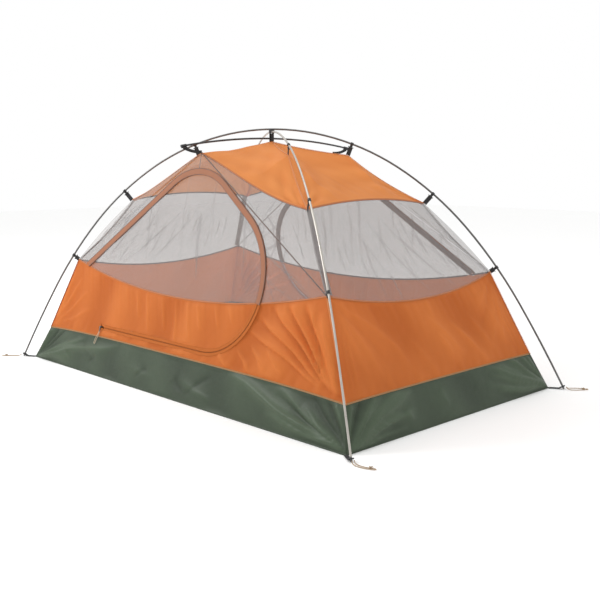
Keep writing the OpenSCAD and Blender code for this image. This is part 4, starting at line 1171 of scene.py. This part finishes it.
seam_look = cloth_look("orange_seam_tape", (0.66, 0.23, 0.07), (0.55, 0.18, 0.05), 0.62)
mesh_seam_look = Look("grey_seam_band", 0.85, Alpha=0.86)
seam_across, seam_far = mesh_seam_look.along()
mesh_seam_look.set("Base Color", mesh_seam_look.mix((0.17, 0.15, 0.145), (0.27, 0.24, 0.235),
                                                    mesh_seam_look.noise(0.02)))
mesh_seam_look.bump(wave(seam_far, 0.0036) * 0.5 + wave(seam_across, 0.006) * 0.5, 0.0004)
band_w = 0.026
ridge_parts, band_parts, fold_parts, far_fold_parts, post_parts = [], [], [], [], []
for flip in (gusset_flips[quarter] for quarter in ("near_right", "near_left", "far_right", "far_left")):
    line = ridge_seam * flip
    ridge_parts.append(ribbon(line, line - [0, 0, 0.5], 0.008, 0.0008, 0.0014))
    line = tip_seam * flip
    inboard = np.array([0, band_w / 2, 0]) * flip
    band_parts.append(ribbon(line + inboard, line - [0, 0, 0.2], band_w, 0.0008, 0.0008))
    fold = np.linspace(wall_peak, door_peak, 30) * flip
    side_parts = fold_parts if flip[1] > 0 else far_fold_parts
    side_parts.append(ribbon(fold, fold - [0, 0, 0.3], 0.005, 0.0006, 0.0006))
    post = np.linspace(tub_corner, wall_peak, 20) * flip
    post_parts.append(ribbon(post, post * [1, 1, 0], 0.007, 0.0004, 0.001))
make_piece("roof_ridge_seams", *joined(ridge_parts), seam_look, "tent", slot="roof_orange")
make_piece("corner_mesh_bands", *joined(band_parts), mesh_seam_look, "tent",
           ["corner_seam_bands"], "seam_grey")
make_piece("near_gusset_fold_seams", *joined(fold_parts), edge_look, "tent", slot="seam_grey")
make_piece("far_gusset_fold_seams", *joined(far_fold_parts), mesh_seam_look, "tent", slot="seam_grey")
make_piece("wall_corner_seams", *joined(post_parts), seam_look, "tent", slot="wall_orange")


# ---- Door zips ----------------------------------------------------------
# A coil zip runs from the hinge's foot round each door. Both tapes are sewn
# flat on the cloth. Above the wall a band of cloth covers it, sewn to the
# door on its inner edge, because the mesh alone would not hold a zip.
tape_look = Look("brown_zip_tape", 0.85, Specular_IOR_Level=0.08)
tape_far = tape_look.along()[1]
ribs = wave(tape_far, 0.0011)
tape_look.set("Base Color", tape_look.mix((0.44, 0.125, 0.03), (0.52, 0.15, 0.038),
                                          ribs * tape_look.noise(0.03)))
tape_look.bump(ribs, 0.0003)
coil_look = Look("dark_brown_zip_coil", 0.8, Specular_IOR_Level=0.1)
coil_look.set("Base Color", coil_look.mix((0.3, 0.088, 0.024), (0.38, 0.115, 0.032),
                                          coil_look.noise(0.01)))
band_look = cloth_look("brown_orange_band", (0.36, 0.16, 0.09), (0.28, 0.12, 0.07), 0.7,
                       Specular_IOR_Level=0.2)
tape_w = 0.0125
tape_n = 0.0007
garage_row = 0.0085
cover_n = 0.0042
cover_w = 0.027
piping_off = 0.0132
coil_pitch = 0.0032


def follow(side, edge, n, gap=0.011):
    """The line over a side of the tent that runs along an edge, n above the cloth."""
    fine = spread(edge, gap)
    return side.place(fine[:, 0], fine[:, 1], n)


def coil(side, grow, n, start):
    """A row of teeth: small rounded bars, one each pitch, square to the edge."""
    fine = spread(door_edge(grow, start), 0.002)
    far = lengths_along(fine)
    marks = np.arange(coil_pitch / 2, far[-1], coil_pitch)
    x, t = np.interp(marks, far, fine[:, 0]), np.interp(marks, far, fine[:, 1])
    ahead = ways_along(np.column_stack([x, t]))
    beside = np.column_stack([-ahead[:, 1], ahead[:, 0]])
    long_half = 0.0013
    thin_half = 0.0011
    rise = 0.0011
    points, faces = [], []
    for i, (px, pt) in enumerate(zip(x, t)):
        base = len(points)
        for level, shrink in ((-rise, 0.7), (0, 1.0), (rise, 0.6)):
            for a, b in ((-1, -1), (1, -1), (1, 1), (-1, 1)):
                off = a * shrink * thin_half * ahead[i] + b * shrink * long_half * beside[i]
                points.append(side.place(px + off[0], pt + off[1], n + level))
        faces += [(base + 3, base + 2, base + 1, base), (base + 8, base + 9, base + 10, base + 11)]
        for ring in (0, 4):
            faces += [(base + ring + k, base + ring + (k + 1) % 4,
                       base + ring + 4 + (k + 1) % 4, base + ring + 4 + k) for k in range(4)]
    return points, faces, [(p[0], p[2]) for p in points]


for end, side in long_sides.items():
    out = side.out * side.flip
    for owner, sign, node in (("door", -1, end + "_door_zip_half"), ("wall", 1, end + "_wall_zip_half")):
        start = 0.009 if owner == "door" else 0.003
        lines = [follow(side, door_edge(sign * (0.0025 + tape_w / 2), start), tape_n)]
        if owner == "wall":
            low = np.array([[hinge_x - garage_l, door_t - garage_row],
                            [hinge_x + 0.002, door_t - garage_row]])
            high = low + [[0, 2 * garage_row], [-0.02, 2 * garage_row]]
            lines += [follow(side, low, tape_n, 0.01), follow(side, high, tape_n, 0.01)]
        parts = [ribbon(line, out, tape_w) for line in lines]
        strip = make_piece(f"{end}_{owner}_zip_tape", *joined(parts), tape_look,
                           "tent" if owner == "wall" else None, [node], "zip_brown")
        teeth = make_piece(f"{end}_{owner}_zip_teeth", *coil(side, sign * 0.0014, 0.0003, start), coil_look,
                           "tent" if owner == "wall" else None, slot="zip_brown")
        if owner == "door":
            swing_with_door(strip, end)
            swing_with_door(teeth, end)
    fine = spread(door_edge(0.0, 0.016), 0.011)
    above = fine[:, 1] > long_top_height(fine[:, 0]) - 0.004
    cover_parts, piping, lining_parts = [], [], []
    for mid in (fine[run] for run in runs_where(above) if len(run) > 3):
        cover_parts.append(ribbon(side.place(mid[:, 0], mid[:, 1], cover_n), out, cover_w, 0.0, 0.0012, 9))
        lining_parts.append(ribbon(side.place(mid[:, 0], mid[:, 1], -0.004), out, 0.026))
        ahead = ways_along(mid)
        for sign, n in ((-1, 0.0035), (1, cover_n)):
            off = mid + sign * piping_off * np.column_stack([ahead[:, 1], -ahead[:, 0]])
            piping.append(tube_mesh(side.place(off[:, 0], off[:, 1], n), 0.0013, 6))
    lining = make_piece(end + "_zip_lining_band", *joined(lining_parts), mesh_seam_look, None,
                        slot="seam_grey")
    swing_with_door(lining, end)
    crown_t = np.linspace(fine[:, 1].max() + 0.015, peak_up, 12)
    make_piece(end + "_door_peak_seam", *ribbon(side.place(np.zeros(12), crown_t, 0.0004), out, 0.005),
               edge_look, "tent", slot="seam_grey")
    cover = make_piece(end + "_zip_cover_band", *joined(cover_parts), band_look, None,
                       [end + "_door_zip_cover"], "cover_orange")
    edge = make_piece(end + "_zip_cover_piping", *joined(piping), edge_look, None, slot="cover_orange")
    swing_with_door(cover, end)
    swing_with_door(edge, end)


# ---- Poles, clips, straps and feet --------------------------------------
# Aluminium tubes in plugged sections, moulded black clips and eyelets, and
# black webbing. These keep their true shapes and get their finishes here,
# and only the straps at the ridge pole's ends are laid anew, a little slack.
def carried(node, look):
    """Gives a CAD node its finish."""
    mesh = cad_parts[node].data
    mesh.materials.clear()
    mesh.materials.append(look.material)


def place_noise(look, size, detail=2.0):
    """The same soft random values for a piece that was never cut from cloth."""
    where = look.node("ShaderNodeTexCoord", {}, {}, "Object")
    return look.noise(size, detail, where)


# Painted shade: the upper pole and the ferrules get a darker copy of the pole aluminium.
shaded_aluminium_look = Look("painted_shade_satin_aluminium", 0.34, Metallic=0.85)
streak = place_noise(shaded_aluminium_look, 0.05, 3.0)
shaded_aluminium_look.set("Base Color", shaded_aluminium_look.mix((0.1, 0.098, 0.095), (0.17, 0.165, 0.16), streak))
shaded_aluminium_look.set("Roughness", streak * 0.2 + 0.25)
# Painted highlight: the lower long pole gets a lighter copy of the same aluminium, standing for its bright
# reflection.
lit_aluminium_look = Look("painted_highlight_aluminium", 0.3, Metallic=0.8)
highlight_streak = place_noise(lit_aluminium_look, 0.05, 3.0)
lit_aluminium_look.set("Base Color", lit_aluminium_look.mix((0.36, 0.34, 0.31), (0.55, 0.52, 0.47), highlight_streak))
lit_aluminium_look.set("Roughness", highlight_streak * 0.2 + 0.2)
ridge_look = Look("black_pole_aluminium", 0.4, Metallic=0.5)
ridge_look.set("Base Color", ridge_look.mix((0.035, 0.035, 0.037), (0.07, 0.07, 0.072),
                                            place_noise(ridge_look, 0.04)))
plastic_look = Look("black_moulded_nylon", 0.5)
grain = place_noise(plastic_look, 0.0015, 3.0)
plastic_look.set("Base Color", plastic_look.mix((0.014, 0.014, 0.015), (0.03, 0.03, 0.032), grain))
plastic_look.bump(grain, 0.0002)
metal_look = Look("dark_turned_metal", 0.35, Metallic=0.8)
metal_look.set("Base Color", metal_look.mix((0.1, 0.1, 0.1), (0.2, 0.2, 0.2),
                                            place_noise(metal_look, 0.004)))
elastic_look = Look("orange_elastic_braid", 0.85)
elastic_look.set("Base Color", elastic_look.mix((0.5, 0.2, 0.03), (0.8, 0.4, 0.08),
                                                place_noise(elastic_look, 0.002)))
webbing_look = Look("black_webbing", 0.85)
warp = place_noise(webbing_look, 0.0012, 1.0)
webbing_look.set("Base Color", webbing_look.mix((0.012, 0.012, 0.013), (0.035, 0.035, 0.037), warp))
webbing_look.bump(warp, 0.0004)
for node in ("upper_long_pole", "pole_ferrules"):
    carried(node, shaded_aluminium_look)
carried("lower_long_pole", lit_aluminium_look)
carried("ridge_pole", ridge_look)
for node in ("crossing_clip", "pole_clips", "ridge_end_caps", "foot_eyelets"):
    carried(node, plastic_look)
for node in ("pole_tips", "near_zip_slider", "far_zip_slider", "near_pull_tab", "far_pull_tab"):
    carried(node, metal_look)
carried("pole_shock_cords", elastic_look)
for node in ("clip_straps", "crossing_strap", "corner_straps"):
    carried(node, webbing_look)
cap_low = corner("ridge_end_caps", (0, -1, 0.3)) * [0, 1, 1]
strap_start = cap_low + [0, 0.012, -0.012]
strap_end = door_peak + [0, 0, 0.004]
strap_share = np.linspace(0, 1, 14)
strap_run = strap_start + strap_share[:, None] * (strap_end - strap_start)
strap_run[:, 2] -= 0.006 * np.sin(math.pi * strap_share)
strap_parts = [ribbon(strap_run * flip, [face, 0, 0], 0.013, 0.0009, 0.0, 3)
               for flip in (1, mirror_y) for face in (1, -1)]
make_piece("ridge_end_webbing", *joined(strap_parts), webbing_look, "tent",
           ["ridge_end_straps"], "webbing_black")
